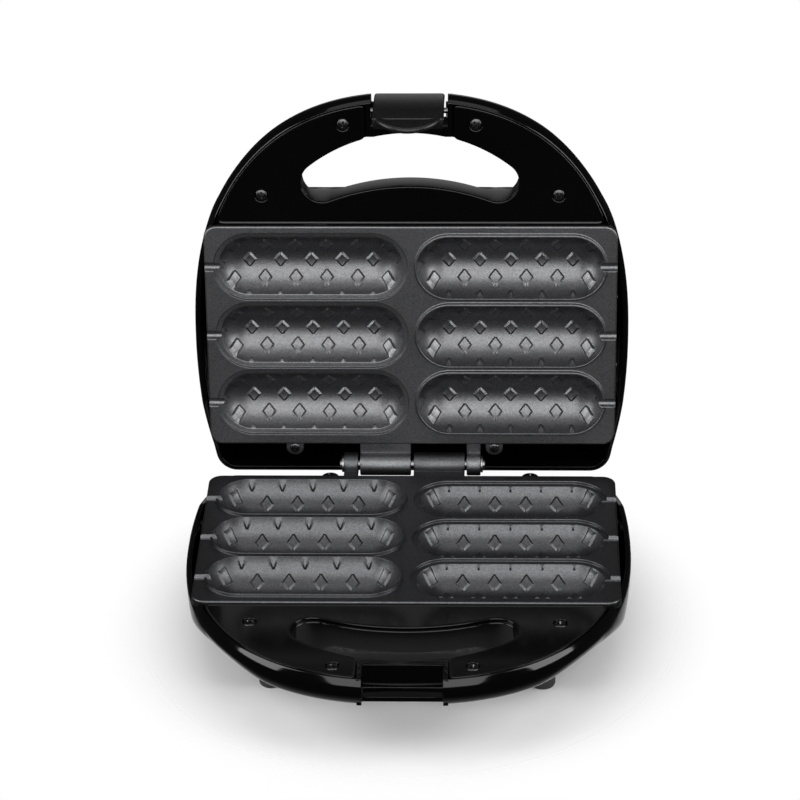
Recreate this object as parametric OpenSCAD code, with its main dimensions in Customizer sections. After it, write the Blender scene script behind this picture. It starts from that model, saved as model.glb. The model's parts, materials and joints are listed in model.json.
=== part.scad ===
// Hot dog maker with two hinged grid plates, shown open.
// Both halves are drawn alike: plate face at z = 0 with the housing below it.
// on_base() stands a half on its feet, on_lid() turns one over onto the hinge and opens it.

/* [Grid plates] */
// Width of each plate
plate_w = 218; // [214:1:224]
// Depth of each plate, front to rear
plate_d = 125.4; // [122:0.2:130]
// Corner radius of each plate
plate_corner_r = 7; // [4:0.5:10]
// Thickness of the plate's flange
flange_t = 4.5; // [3.8:0.1:5.5]
// Metal left under each pocket
pocket_wall = 2.6; // [2:0.1:3.2]
// Gap between the plates when closed
plate_gap = 1; // [0.8:0.1:1.6]

/* [Pockets] */
// Land between a pocket's outer end and the plate's side
pocket_margin_x = 6.9; // [6:0.1:10]
// Land between the two columns of pockets
pocket_mid_gap = 7.4; // [6.5:0.1:11]
// Extra land at the plate's front and rear edges
pocket_margin_y = 4.2; // [3.8:0.1:5]
// Land between neighbouring rows of pockets
pocket_land = 5.3; // [4.9:0.1:6]
// Offset of the middle row towards the rear
pocket_shift = -0.9; // [-2:0.1:1]
// Height of the round section's centre above the plate face
pocket_rise = 5.8; // [5:0.1:7]
// Width of the raised sealing ridge
ridge_w = 1.6; // [1.2:0.1:1.8]
// Height of the raised sealing ridge
ridge_h = 1.8; // [1.2:0.1:2]
// Depth of the rebate that takes the ridge
rebate_depth = 1.6; // [1.4:0.1:2.2]
// Side clearance of the ridge in its rebate
rebate_gap = 0.45; // [0.3:0.05:0.6]
// Radius of the groove for a stick
stick_r = 2.2; // [1.8:0.1:2.6]

/* [Diamond knobs] */
// Length of a knob along the pocket
knob_l = 7.6; // [6:0.2:9]
// Width of a knob round the pocket
knob_w = 9.2; // [7:0.2:9.4]
// Height of a knob
knob_h = 1.2; // [0.8:0.1:1.6]
// Spacing of knobs along the pocket
knob_pitch = 16.4; // [15.6:0.2:17]
// Angle between rows of knobs round the pocket
knob_row_angle = 32; // [30:0.5:34]

/* [Hinge] */
// Distance of the hinge axis behind the plate's rear edge
hinge_back = 11.4; // [10.5:0.1:13]
// Outer radius of the hinge knuckles
knuckle_r = 6.2; // [5.6:0.1:7]
// Radius of the hinge pin
pin_r = 2.5; // [2:0.1:3]
// Radial clearance of the pin in the lid's knuckles
pin_play = 0.05; // [0.03:0.01:0.09]
// Length of the wide knuckle
knuckle_l = 27.4; // [24:0.2:29]
// Length of the narrow outer lug
lug_l = 7.5; // [6:0.5:9]
// Gap between neighbouring knuckles
knuckle_gap = 1.1; // [0.8:0.1:1.6]
// Angle the lid opens from closed
open_angle = 95.6; // [90:0.2:95.8]

/* [Housing] */
// Clearance between the plate's side and the housing wall at the widest point
side_gap = 3.5; // [3:0.1:5]
// Thickness of the housing wall
wall = 3; // [2.6:0.1:3.4]
// Reach of the handle beyond the plate's front edge
handle_reach = 71.3; // [68:0.1:75]
// Reach of the housing behind the hinge axis
rear_reach = 10.9; // [10:0.1:11.6]
// Depth of the housing below the plate face
body_depth = 45; // [42:0.5:50]
// Depth of the handle below the plate face
handle_depth = 17; // [15:0.5:20]
// Reach of the deep bowl in front of the plate
bowl_reach = 4.8; // [4:0.2:6]
// Length of the step from the bowl up to the handle
bowl_step = 11.5; // [10:0.5:13]
// Radius of the rear corners
rear_corner_r = 12; // [8:0.5:16]
// Drop of the rear rim below the plate face
rear_rim_drop = 12.5; // [12:0.1:15]
// Radius of the gently bowed sides
side_bow_r = 345; // [320:5:400]
// Fullness of the handle's curved front
front_fullness = 2.4; // [2.2:0.05:2.6]
// Turn of the slope that takes off the bowl's lower front corners, from straight sideways
corner_turn = 40; // [35:1:45]
// Lean of that slope from upright
corner_lean = 41; // [38:1:45]

/* [Handle] */
// Drop of the handle cover below the plate face
cover_drop = 1.1; // [0.8:0.1:1.6]
// Thickness of the handle cover
cover_t = 2.5; // [2:0.1:3]
// Gap between the handle cover and the plate
cover_gap = 0.8; // [0.5:0.1:1.2]
// Radius of the grip opening's front edge
grip_front_r = 84.3; // [78:0.1:90]
// Radius of the grip opening's round ends
grip_end_r = 11; // [9:0.1:12]
// Distance from the middle to the grip opening's end centres
grip_end_x = 46; // [42:0.1:48]
// Bar left between the grip opening and the handle's front
grip_bar = 20; // [19:0.1:22]
// Length of the grip opening at the middle
grip_gap = 29.6; // [27:0.1:30]
// Distance of the front cover screws from the middle
cover_screw_x1 = 34.5; // [32:0.1:40]
// Distance of the rear cover screws from the middle
cover_screw_x2 = 77.8; // [74:0.1:80]
// Distance of the front cover screws from the handle's front
cover_screw_y1 = 15.4; // [14:0.1:17]
// Distance of the rear cover screws in front of the plate
cover_screw_y2 = 16.9; // [15:0.1:20]

/* [Latch] */
// Width of the notch for the latch
notch_w = 40; // [38:0.2:44]
// Depth of the notch from the handle's front
notch_depth = 16.4; // [16:0.1:17]
// Clearance of the latch at each side of its notch
latch_side_gap = 1.7; // [1:0.1:2.4]
// Thickness of the latch plate
latch_t = 3; // [2.4:0.1:3.6]
// Setback of the latch plate behind the handle's front
latch_setback = 1.6; // [1:0.1:3.2]
// Radius of the latch plate's bow, which follows the shut housing
latch_bow = 90; // [70:1:120]
// Reach of the lip that the hook grips
lip_reach = 8.4; // [8:0.1:9]
// Clearance of the hook under its lip
hook_gap = 0.5; // [0.3:0.1:0.8]
// Thickness of the hook
hook_t = 3.4; // [2.6:0.1:4]
// Bite of the hook under the lip
hook_bite = 2; // [1.5:0.1:3.4]
// Length of the finger tab below the hook
tab_l = 9; // [6:0.5:12]
// Radius of the latch pin
latch_pin_r = 1.5; // [1.2:0.1:2]

/* [Feet and inlet] */
// Height of the feet
foot_h = 6; // [4:0.5:8]
// Radius of the feet
foot_r = 6.5; // [5.5:0.5:7]
// Distance of the feet from the middle
foot_x = 69.5; // [64:0.5:74]
// Distance of the front feet in front of the plate's centre
foot_front = 59.5; // [56:0.5:60.5]
// Distance of the rear feet behind the plate's centre
foot_rear = 60; // [56:0.5:62]
// Radius of the power inlet's bore
inlet_r = 3.6; // [3:0.1:4]

/* [Heater and inside] */
// Radius of the tubular heater
heater_r = 3.3; // [2.8:0.1:3.4]
// Depth of the heat shield pan below the plate's flange
shield_depth = 16; // [15:0.5:18]
// Thickness of the heat shield
shield_t = 0.8; // [0.6:0.1:1.2]
// Radius of the screws' shanks
screw_r = 1.5; // [1.3:0.1:1.7]
// Radial clearance of fixed pieces in their holes
fit_gap = 0.04; // [0.02:0.01:0.08]

/* [Hidden] */
$fn = 48;

shell_colour = [0.03, 0.03, 0.035];
cover_colour = [0.05, 0.05, 0.055];
plate_colour = [0.2, 0.2, 0.21];
steel_colour = [0.7, 0.7, 0.72];
screw_colour = [0.25, 0.25, 0.26];
latch_colour = [0.06, 0.06, 0.06];
rubber_colour = [0.12, 0.12, 0.12];
heater_colour = [0.45, 0.45, 0.46];
ceramic_colour = [0.92, 0.9, 0.85];
wire_colour = [0.85, 0.83, 0.78];

// Places of the main pieces
land_h = body_depth + foot_h;
plate_front = -plate_d / 2;
plate_rear = plate_d / 2;
hinge_y = plate_rear + hinge_back;
hinge_z = land_h + plate_gap / 2;
half_w = plate_w / 2 + side_gap + wall;
front_y = plate_front - handle_reach;
rear_y = hinge_y + rear_reach;
// Row where the housing is widest
wide_y = 2;
front_len = wide_y - front_y;
// Gap under the flange where it lies over the rim
rim_gap = 0.3;
side_rim = flange_t + rim_gap;
floor_z = -(body_depth - wall);
// How far posts reach down into the housing's floor
root = wall / 2;
// A cut runs this far past the face it opens
over = 1;

// Bowl and handle of the housing
bowl_y0 = plate_front - bowl_reach;
bowl_y1 = bowl_y0 - bowl_step;
// Inset from the outline and share of the depth, from the rim down to the flat bottom
PROFILE = [[0.8, 0], [0, 0.14], [0.6, 0.4], [2.2, 0.64], [5.5, 0.82], [10, 0.94], [15, 1]];

// Outline of the housing, right half from the rear edge to the front
corner_steps = 5;
side_steps = 4;
nose_steps = 9;
side_rows = [-18, -38, -54];
step_rows = [0, 0.25, 0.5, 0.75, 1, 1.3];
nose_angle = front_angle(bowl_y0 - step_rows[len(step_rows) - 1] * bowl_step);
front_angles = concat(
    [90],
    [for (y = side_rows) front_angle(y)],
    [for (s = step_rows) front_angle(bowl_y0 - s * bowl_step)],
    [for (i = [1:nose_steps]) nose_angle * (1 - i / nose_steps)]
);
half_count = corner_steps + 1 + side_steps + len(front_angles);
ring_count = 2 * half_count - 1;

function front_angle(y) = acos(pow((wide_y - y) / front_len, front_fullness / 2));
function smooth(t) = t <= 0 ? 0 : t >= 1 ? 1 : t * t * (3 - 2 * t);
function depth_at(y) = handle_depth + (body_depth - handle_depth) * smooth((y - bowl_y1) / bowl_step);
// Least radius of a corner that is moved in
corner_r_min = 4;
function corner_r(e) = max(rear_corner_r - e, corner_r_min);
function corner_y(e) = rear_y - e - corner_r(e);
function corner_tilt(e) = asin((corner_y(e) - wide_y) / (side_bow_r - corner_r(e)));
function corner_x(e) = half_w - e - side_bow_r + (side_bow_r - corner_r(e)) * cos(corner_tilt(e));
function corner_point(t, e) = [corner_x(e) + corner_r(e) * cos(t), corner_y(e) + corner_r(e) * sin(t)];
function side_point(t, e) = [half_w - e - side_bow_r * (1 - cos(t)), wide_y + side_bow_r * sin(t)];
function front_normal(t) =
    let (p = 2 - 2 / front_fullness, n = [pow(sin(t), p) / half_w, pow(cos(t), p) / front_len])
    n / norm(n);
function front_point(t, e) = [
    half_w * pow(sin(t), 2 / front_fullness) - e * front_normal(t).x,
    wide_y - front_len * pow(cos(t), 2 / front_fullness) + e * front_normal(t).y
];
// Point j of the outline's right half, moved in by e
function half_point(j, e) =
    j <= corner_steps ? corner_point(90 - (90 - corner_tilt(e)) * j / corner_steps, e) :
    j <= corner_steps + side_steps ?
        side_point(corner_tilt(e) * (1 - (j - corner_steps) / (side_steps + 1)), e) :
    front_point(front_angles[j - corner_steps - side_steps - 1], e);
function outline_point(j, e) =
    j < half_count ? half_point(j, e) : let (p = half_point(ring_count - 1 - j, e)) [-p.x, p.y];
function outline(e) = [for (j = [0:ring_count - 1]) outline_point(j, e)];
function ring_point(j, k, inset, cut, top) =
    let (d = depth_at(outline_point(j, 0).y), p = outline_point(j, inset + PROFILE[k][0] * d / body_depth))
    [p.x, p.y, k == 0 ? top : -(depth_at(p.y) - cut) * PROFILE[k][1]];

// Slope across a lower front corner, clear of the foot and moved in by cut
corner_margin = 0.4;
module corner_slope(cut) translate([foot_x, -foot_front, -body_depth]) rotate(-corner_turn)
    translate([foot_r + corner_margin, 0, 0]) rotate([0, corner_lean, 0])
        translate([-cut, -half_w, -half_w]) cube(2 * half_w);
// Bowl with the handle's shallow front, moved in by inset and made shallower by cut
module bowl(inset, cut, top) difference() {
    full_bowl(inset, cut, top);
    for (s = [0, 1]) mirror([s, 0, 0]) corner_slope(cut);
}
module full_bowl(inset, cut, top) {
    last = len(PROFILE) - 1;
    n = ring_count;
    points = [for (k = [0:last]) for (j = [0:n - 1]) ring_point(j, k, inset, cut, top)];
    sides = [for (k = [0:last - 1]) for (j = [0:n - 1]) let (i = (j + 1) % n, a = k * n, b = a + n)
        each [[a + i, a + j, b + j], [a + i, b + j, b + i]]];
    bottom = [for (j = [0:half_count - 3]) let (a = last * n, m = n - 1 - j)
        each [[a + j, a + m, a + m - 1], [a + j, a + m - 1, a + j + 1]]];
    tip = last * n + half_count - 1;
    polyhedron(points, concat([[for (j = [0:n - 1]) j]], sides, bottom, [[tip - 1, tip + 1, tip]]));
}

// Grip opening: a front arc, a rear arc and round ends, all tangent
grip_front = front_y + grip_bar;
grip_rear = grip_front + grip_gap;
grip_front_c = grip_front + grip_front_r;
grip_end_y = grip_front_c - sqrt(pow(grip_front_r - grip_end_r, 2) - pow(grip_end_x, 2));
grip_rear_lead = grip_rear - grip_end_y;
grip_rear_r = (pow(grip_end_x, 2) + pow(grip_rear_lead, 2) - pow(grip_end_r, 2))
    / (2 * (grip_end_r - grip_rear_lead));
grip_rear_c = grip_rear + grip_rear_r;
grip_front_a = asin(grip_end_x / (grip_front_r - grip_end_r));
grip_rear_a = asin(grip_end_x / (grip_rear_r + grip_end_r));
function arc(c, r, from, to, n) =
    [for (i = [0:n - 1]) let (t = from + (to - from) * i / n) c + r * [sin(t), -cos(t)]];
function grip_outline(grow) = concat(
    arc([0, grip_front_c], grip_front_r + grow, -grip_front_a, grip_front_a, 16),
    arc([grip_end_x, grip_end_y], grip_end_r + grow, grip_front_a, 180 + grip_rear_a, 10),
    arc([0, grip_rear_c], grip_rear_r - grow, grip_rear_a, -grip_rear_a, 10),
    arc([-grip_end_x, grip_end_y], grip_end_r + grow, -180 - grip_rear_a, -grip_front_a, 10)
);
module grip_prism(grow, z0, z1) {
    translate([0, 0, z0]) linear_extrude(z1 - z0) polygon(grip_outline(grow));
}

// Stands a half on its feet
module on_base() translate([0, 0, land_h]) children();
// Turns a half over onto the hinge and opens it
module on_lid() {
    translate([0, hinge_y, hinge_z]) rotate([-open_angle, 0, 0])
        translate([0, -hinge_y, plate_gap / 2]) rotate([0, 180, 0]) children();
}
// Box from one corner to the other
module span(a, b) translate(a) cube(b - a);
// Cylinder between two heights
module post(x, y, r, z0, z1) translate([x, y, z0]) cylinder(r = r, h = z1 - z0);
// Cylinder along X
module bar_x(y, z, r, x0, x1) translate([x0, y, z]) rotate([0, 90, 0]) cylinder(r = r, h = x1 - x0);
// Cylinder along Y
module bar_y(x, z, r, y0, y1) translate([x, y0, z]) rotate([-90, 0, 0]) cylinder(r = r, h = y1 - y0);

// Screw with a flat head and a cross recess, its seat at z = 0 and its shank below
head_h = 1.5;
recess_w = 0.8;
recess_l = 0.6;
module screw(head_r, shank_l) {
    difference() {
        union() {
            cylinder(r = head_r, h = head_h);
            translate([0, 0, -shank_l]) cylinder(r = screw_r, h = shank_l);
        }
        for (a = [0, 90]) rotate(a)
            translate([-head_r * recess_l, -recess_w / 2, head_h / 3])
                cube([head_r * recess_l * 2, recess_w, head_h]);
    }
}

// Grid plate: flange, pockets with ridges or rebates, stick grooves, knuckles and ears
row_count = 3;
pocket_pitch_x = plate_w / 2 - pocket_margin_x + pocket_mid_gap / 2;
pocket_pitch_y = (plate_d - 2 * pocket_margin_y) / row_count;
pocket_half_w = (pocket_pitch_y - pocket_land) / 2;
pocket_run = (plate_w - pocket_mid_gap) / 2 - pocket_margin_x - 2 * pocket_half_w;
pocket_r = sqrt(pow(pocket_half_w, 2) + pow(pocket_rise, 2));
ridge_r = pocket_half_w + ridge_w;
rebate_r = ridge_r + rebate_gap;
bulge_r = pocket_r + pocket_wall;
pocket_rows = [for (i = [0:row_count - 1]) pocket_shift + (i - (row_count - 1) / 2) * pocket_pitch_y];
// Play between a heater and the pockets it lies between
heater_play = 0.3;
heater_z = min(
    -flange_t - heater_r,
    pocket_rise - sqrt(pow(bulge_r + heater_r + heater_play, 2) - pow(pocket_pitch_y / 2, 2))
);
clamp_t = 1.6;
clamp_w = 9;
clamp_top = heater_z - heater_r - fit_gap;
shield_top = -flange_t - shield_depth;
clamp_boss_r = 4;
shield_post_r = 3.2;
shield_post_y = 33;

// Stadium of the pocket's run with round ends
module stadium(r, z0, z1) {
    for (s = [-1, 1]) post(s * pocket_run / 2, 0, r, z0, z1);
    span([-pocket_run / 2, -r, z0], [pocket_run / 2, r, z1]);
}
// Round-ended trough about the section's centre line
module capsule(r) translate([0, 0, pocket_rise]) {
    bar_x(0, 0, r, -pocket_run / 2, pocket_run / 2);
    for (s = [-1, 1]) translate([s * pocket_run / 2, 0, 0]) sphere(r = r);
}
knob_sink = 0.8;
floor_knobs = round(pocket_run / knob_pitch) + 1;
knob_end = floor_knobs / 2;
module diamond() {
    translate([0, 0, -pocket_r - knob_sink]) linear_extrude(knob_sink + knob_h)
        polygon([[knob_l / 2, 0], [0, knob_w / 2], [-knob_l / 2, 0], [0, -knob_w / 2]]);
}
// Knobs of one pocket: a row on its floor and a staggered row up each side, one longer
module knobs() translate([0, 0, pocket_rise]) {
    end_tilt = asin((knob_end * knob_pitch - pocket_run / 2) / pocket_r);
    end_row = asin(sin(knob_row_angle) / cos(end_tilt));
    for (i = [0:floor_knobs - 1]) translate([(i - knob_end + 0.5) * knob_pitch, 0, 0]) diamond();
    for (s = [-1, 1]) {
        for (i = [1:floor_knobs - 1]) translate([(i - knob_end) * knob_pitch, 0, 0])
            rotate([s * knob_row_angle, 0, 0]) diamond();
        for (e = [-1, 1]) translate([e * pocket_run / 2, 0, 0]) rotate([s * end_row, 0, 0])
            rotate([0, -e * end_tilt, 0]) diamond();
    }
}
module at_pockets(side) for (y = pocket_rows) translate([side * pocket_pitch_x / 2, y, 0]) children();

ear_x = [-44.2, 63.5];
ear_back = 2.8;
ear_r = 4.75;
ear_t = 3;
ear_drop = 1;
ear_z = -flange_t - ear_drop;
ear_y = plate_rear + ear_back;
tongue_x = 50;
tongue_w = 12;
tongue_l = 3.5;
tongue_play = 0.3;
tongue_top = -cover_drop - cover_t - tongue_play;
tongue_t = 3;
// Gap between the two wide knuckles, then the ends of the wide knuckle and of the lug
knuckle_mid_gap = 1.6;
knuckle_x0 = knuckle_mid_gap / 2;
knuckle_x1 = knuckle_x0 + knuckle_l;
lug_x0 = knuckle_x1 + knuckle_gap;
lug_x1 = lug_x0 + lug_l;
axis_z = plate_gap / 2;
web_t = 4;
// How far webs, ears and tongues run into the flange
bite = 2;
plate_screw_head = 2.65;
plate_screw_l = 12;
// Bottom of a blind screw hole beyond the screw's tip
hole_spare = 1;
clamp_screw_l = shield_depth - hole_spare;

module rounded_slab(w, d, r, z0, z1) {
    for (sx = [-1, 1]) for (sy = [-1, 1]) post(sx * (w / 2 - r), sy * (d / 2 - r), r, z0, z1);
    span([-w / 2 + r, -d / 2, z0], [w / 2 - r, d / 2, z1]);
    span([-w / 2, -d / 2 + r, z0], [w / 2, d / 2 - r, z1]);
}
// One knuckle with the web that joins it to the plate
module knuckle(x0, x1) {
    bar_x(hinge_y, axis_z, knuckle_r, x0, x1);
    span([x0, plate_rear - bite, -flange_t], [x1, hinge_y, -flange_t + web_t]);
}
module grid_plate(bore_r) {
    difference() {
        union() {
            difference() {
                union() {
                    rounded_slab(plate_w, plate_d, plate_corner_r, -flange_t, 0);
                    for (side = [-1, 1]) at_pockets(side) intersection() {
                        capsule(bulge_r);
                        stadium(bulge_r + over, -bulge_r, -flange_t / 2);
                    }
                    at_pockets(-1) stadium(ridge_r, -flange_t / 2, ridge_h);
                }
                for (side = [-1, 1]) at_pockets(side) capsule(pocket_r);
                at_pockets(1) stadium(rebate_r, -rebate_depth, over);
                for (side = [-1, 1]) for (y = pocket_rows)
                    bar_x(y, 0, stick_r, side > 0 ? (pocket_pitch_x + pocket_run) / 2 : -plate_w / 2 - over,
                        side > 0 ? plate_w / 2 + over : -(pocket_pitch_x + pocket_run) / 2);
            }
            for (side = [-1, 1]) at_pockets(side) knobs();
            knuckle(knuckle_x0, knuckle_x1);
            knuckle(-lug_x1, -lug_x0);
            for (x = ear_x) {
                post(x, ear_y, ear_r, ear_z, ear_z + ear_t);
                span([x - ear_r, plate_rear - bite, ear_z], [x + ear_r, ear_y, ear_z + ear_t]);
            }
            for (s = [-1, 1])
                span([s * tongue_x - tongue_w / 2, plate_front - tongue_l, tongue_top - tongue_t],
                    [s * tongue_x + tongue_w / 2, plate_front + bite, tongue_top]);
            post(0, pocket_shift, clamp_boss_r, clamp_top + fit_gap, -flange_t / 2);
            for (s = [-1, 1])
                post(0, pocket_shift + s * shield_post_y, shield_post_r, shield_top, -flange_t / 2);
        }
        bar_x(hinge_y, axis_z, bore_r, -lug_x1 - over, knuckle_x1 + over);
        for (x = ear_x) post(x, ear_y, screw_r + fit_gap, ear_z - over, ear_z + ear_t + over);
        post(0, pocket_shift, screw_r + fit_gap, clamp_top - over, -flange_t + shield_t);
    }
}
module plate_screws() color(screw_colour) for (x = ear_x)
    translate([x, ear_y, ear_z + ear_t]) screw(plate_screw_head, plate_screw_l);

// Heater bent round the middle pocket's end, with its cold pins through ceramic beads
heater_y = pocket_pitch_y / 2;
heater_bend_x = (pocket_pitch_x + pocket_run) / 2;
heater_tail = 8;
heater_end_x = heater_bend_x + heater_tail;
bead_in = 0.3;
bead_r = heater_r - bead_in;
bead_l = 5;
cold_pin_r = 1.3;
cold_pin_l = 11;
module heater() color(heater_colour) translate([0, pocket_shift, heater_z]) {
    for (s = [-1, 1]) {
        bar_x(s * heater_y, 0, heater_r, -heater_end_x, heater_bend_x);
        bar_x(s * heater_y, 0, cold_pin_r, -heater_end_x - cold_pin_l, -heater_end_x);
    }
    translate([heater_bend_x, 0, 0]) rotate(-90) rotate_extrude(angle = 180)
        translate([heater_y, 0]) circle(r = heater_r);
}
module insulators() color(ceramic_colour) translate([0, pocket_shift, heater_z]) for (s = [-1, 1])
    difference() {
        bar_x(s * heater_y, 0, bead_r, -heater_end_x - bead_l, -heater_end_x);
        bar_x(s * heater_y, 0, cold_pin_r + fit_gap, -heater_end_x - bead_l - over, -heater_end_x + over);
    }
// Strap across the heater's legs, with a hollow boss that the shield hangs on
module heater_clamp() color(steel_colour) translate([0, pocket_shift, 0]) difference() {
    union() {
        span([-clamp_w / 2, -heater_y - heater_r * 2, clamp_top - clamp_t],
            [clamp_w / 2, heater_y + heater_r * 2, clamp_top]);
        post(0, 0, clamp_boss_r, shield_top, clamp_top);
    }
    post(0, 0, screw_r + fit_gap, shield_top - over, clamp_top + over);
}
module clamp_screw() color(screw_colour) translate([0, pocket_shift, shield_top - shield_t])
    rotate([180, 0, 0]) screw(clamp_boss_r, clamp_screw_l);
shield_margin_x = 9;
shield_margin_y = 6.5;
shield_lip = 4;
shield_corner_r = 12;
module heat_shield(holes) color(steel_colour) {
    w = plate_w - 2 * shield_margin_x;
    d = plate_d - 2 * shield_margin_y;
    difference() {
        rounded_slab(w, d, shield_corner_r, shield_top - shield_lip, shield_top);
        rounded_slab(w - 2 * shield_t, d - 2 * shield_t, shield_corner_r - shield_t,
            shield_top - shield_lip - over, shield_top - shield_t);
        for (p = concat([[0, pocket_shift]], holes))
            post(p.x, p.y, screw_r + fit_gap, shield_top - shield_lip, shield_top + over);
    }
}

// Housing: bowl, rim, grip opening with its wall, latch notch and posts
cover_edge_gap = 0.7;
cover_inset = wall + cover_edge_gap;
cover_top = -cover_drop;
cover_z = cover_top - cover_t;
grip_wall = 2.2;
notch_wall = 2.5;
notch_block_in = wall + 0.5;
notch_y = front_y + notch_depth;
notch_x = notch_w / 2;
lip_y = notch_y - lip_reach;
latch_slot_gap = 0.5;
latch_slot_x = notch_x - latch_side_gap + latch_slot_gap;
lip_t = 2.5;
lip_z = -handle_depth + lip_t;
latch_pin_in = 10;
latch_pin_drop = 8;
latch_pin_y = front_y + latch_pin_in;
latch_pin_z = -latch_pin_drop;
cover_screws_at = [for (s = [-1, 1]) each [
    [s * cover_screw_x1, front_y + cover_screw_y1],
    [s * cover_screw_x2, plate_front - cover_screw_y2]
]];
cover_boss_r = 4;
cover_screw_head = 3.15;
cover_head_play = 0.3;
cover_notch_gap = 0.4;
cover_screw_l = 9;
ear_post_r = 4.2;
rest_l = 10;
rest_t = 2.4;
rest_gap = 0.4;
rest_back = bite + rest_gap;
rim_slope_y = plate_rear - 22;
rim_slope_l = 29;
// Side view of what is cut away above the rim
RIM = [
    [front_y - over, over], [front_y - over, cover_top], [plate_front - cover_gap, cover_top],
    [plate_front - cover_gap, -side_rim], [rim_slope_y, -side_rim],
    [rim_slope_y + rim_slope_l, -rear_rim_drop], [rear_y + over, -rear_rim_drop], [rear_y + over, over]
];
module rim_cut() rotate([90, 0, 90]) translate([0, 0, -half_w - over])
    linear_extrude(2 * (half_w + over)) polygon(RIM);
// Walls and bosses that stand on the handle's floor and on the slope behind it
module handle_posts() {
    grip_prism(grip_wall, -body_depth, cover_z);
    span([-notch_x - notch_wall, front_y + notch_block_in, -body_depth],
        [notch_x + notch_wall, grip_front + grip_wall, cover_top]);
    for (p = cover_screws_at) post(p.x, p.y, cover_boss_r, -body_depth, cover_z);
}
module shell_body(with_lip) {
    difference() {
        union() {
            difference() {
                bowl(0, 0, 0);
                bowl(wall, wall, over);
            }
            intersection() {
                bowl(root, root, 0);
                handle_posts();
            }
            for (x = ear_x) post(x, ear_y, ear_post_r, floor_z - root, ear_z);
            for (s = [-1, 1])
                span([s * tongue_x - rest_l / 2, plate_front + rest_back, floor_z - root],
                    [s * tongue_x + rest_l / 2, plate_front + rest_back + rest_t, -flange_t]);
        }
        rim_cut();
        grip_prism(0, -body_depth - over, over);
        span([-notch_x, front_y - over, -handle_depth - over], [notch_x, lip_y, over]);
        if (!with_lip)
            span([-latch_slot_x, lip_y - over, -handle_depth - over], [latch_slot_x, notch_y, over]);
        span([-notch_x, lip_y - over, lip_z], [notch_x, notch_y, over]);
        for (p = cover_screws_at)
            post(p.x, p.y, screw_r + fit_gap, cover_z - cover_screw_l - hole_spare, cover_z + over);
        for (x = ear_x) post(x, ear_y, screw_r + fit_gap, ear_z - plate_screw_l, ear_z + over);
    }
}
module handle_cover() color(cover_colour) difference() {
    intersection() {
        translate([0, 0, cover_z]) linear_extrude(cover_t) polygon(outline(cover_inset));
        span([-half_w, front_y, cover_z - over], [half_w, plate_front - cover_gap, cover_top + over]);
    }
    grip_prism(0, cover_z - over, cover_top + over);
    span([-notch_x - notch_wall - cover_notch_gap, front_y, cover_z - over],
        [notch_x + notch_wall + cover_notch_gap, grip_front + grip_wall + cover_notch_gap, cover_top + over]);
    for (p = cover_screws_at) {
        post(p.x, p.y, screw_r + fit_gap, cover_z - over, cover_top + over);
        post(p.x, p.y, cover_screw_head + cover_head_play, cover_top - head_h, cover_top + over);
    }
}
module cover_screws() color(screw_colour) for (p = cover_screws_at)
    translate([p.x, p.y, cover_top - head_h]) screw(cover_screw_head, cover_screw_l);

// Feet, inlet and terminals of the base
feet_at = [for (s = [-1, 1]) each [[s * foot_x, -foot_front], [s * foot_x, foot_rear]]];
foot_boss_r = 4;
foot_boss_h = 8;
foot_recess = 2.5;
foot_head_r = 3.2;
foot_screw_l = foot_h - foot_recess + wall + foot_boss_h - 2 * hole_spare;
inlet_in = 29;
inlet_x = plate_w / 2 - inlet_in;
inlet_z = -28;
inlet_wall = 2.8;
inlet_flange = 2.6;
inlet_flange_t = 2.5;
inlet_seat_rim = 0.6;
inlet_seat_r = inlet_r + inlet_wall + inlet_flange + inlet_seat_rim;
inlet_stand = 0.2;
inlet_seat_y = rear_y + inlet_stand;
inlet_seat_l = 9;
inlet_tail = 2;
module base_shell() color(shell_colour) on_base() difference() {
    union() {
        shell_body(true);
        for (p = feet_at) post(p.x, p.y, foot_boss_r, floor_z - root, floor_z + foot_boss_h);
        bar_y(inlet_x, inlet_z, inlet_seat_r, inlet_seat_y - inlet_seat_l, inlet_seat_y);
        for (p = clamp_at) post(p.x, p.y, clamp_post_r, floor_z - root, saddle_z);
        for (p = block_pegs) post(p.x, p.y, block_peg_r, floor_z - root, floor_z + block_peg_h);
    }
    for (p = feet_at)
        post(p.x, p.y, screw_r + fit_gap, -body_depth - over, floor_z + foot_boss_h - hole_spare);
    bar_y(inlet_x, inlet_z, inlet_r + inlet_wall + fit_gap,
        inlet_seat_y - inlet_seat_l - over, inlet_seat_y + over);
    for (p = clamp_at)
        post(p.x, p.y, screw_r + fit_gap, saddle_z + saddle_t - saddle_screw_l - hole_spare, saddle_z + over);
}
module feet() color(rubber_colour) on_base() for (p = feet_at) difference() {
    post(p.x, p.y, foot_r, -body_depth - foot_h, -body_depth);
    post(p.x, p.y, screw_r + fit_gap, -body_depth - foot_h - over, -body_depth + over);
    post(p.x, p.y, foot_head_r + cover_head_play,
        -body_depth - foot_h - over, -body_depth - foot_h + foot_recess);
}
module foot_screws() color(screw_colour) on_base() for (p = feet_at)
    translate([p.x, p.y, -body_depth - foot_h + foot_recess]) rotate([180, 0, 0])
        screw(foot_head_r, foot_screw_l);
module cord_gland() color(rubber_colour) on_base() difference() {
    union() {
        bar_y(inlet_x, inlet_z, inlet_r + inlet_wall, inlet_seat_y - inlet_seat_l - inlet_tail, inlet_seat_y);
        bar_y(inlet_x, inlet_z, inlet_r + inlet_wall + inlet_flange,
            inlet_seat_y, inlet_seat_y + inlet_flange_t);
    }
    bar_y(inlet_x, inlet_z, inlet_r, inlet_seat_y - inlet_seat_l - inlet_tail - over,
        inlet_seat_y + inlet_flange_t + over);
}
clamp_gap = 8;
clamp_post_r = 3.6;
clamp_ahead = 15;
clamp_y = foot_rear - clamp_ahead;
clamp_at = [for (s = [-1, 1]) [inlet_x + s * clamp_gap, clamp_y]];
saddle_t = 2.4;
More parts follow.
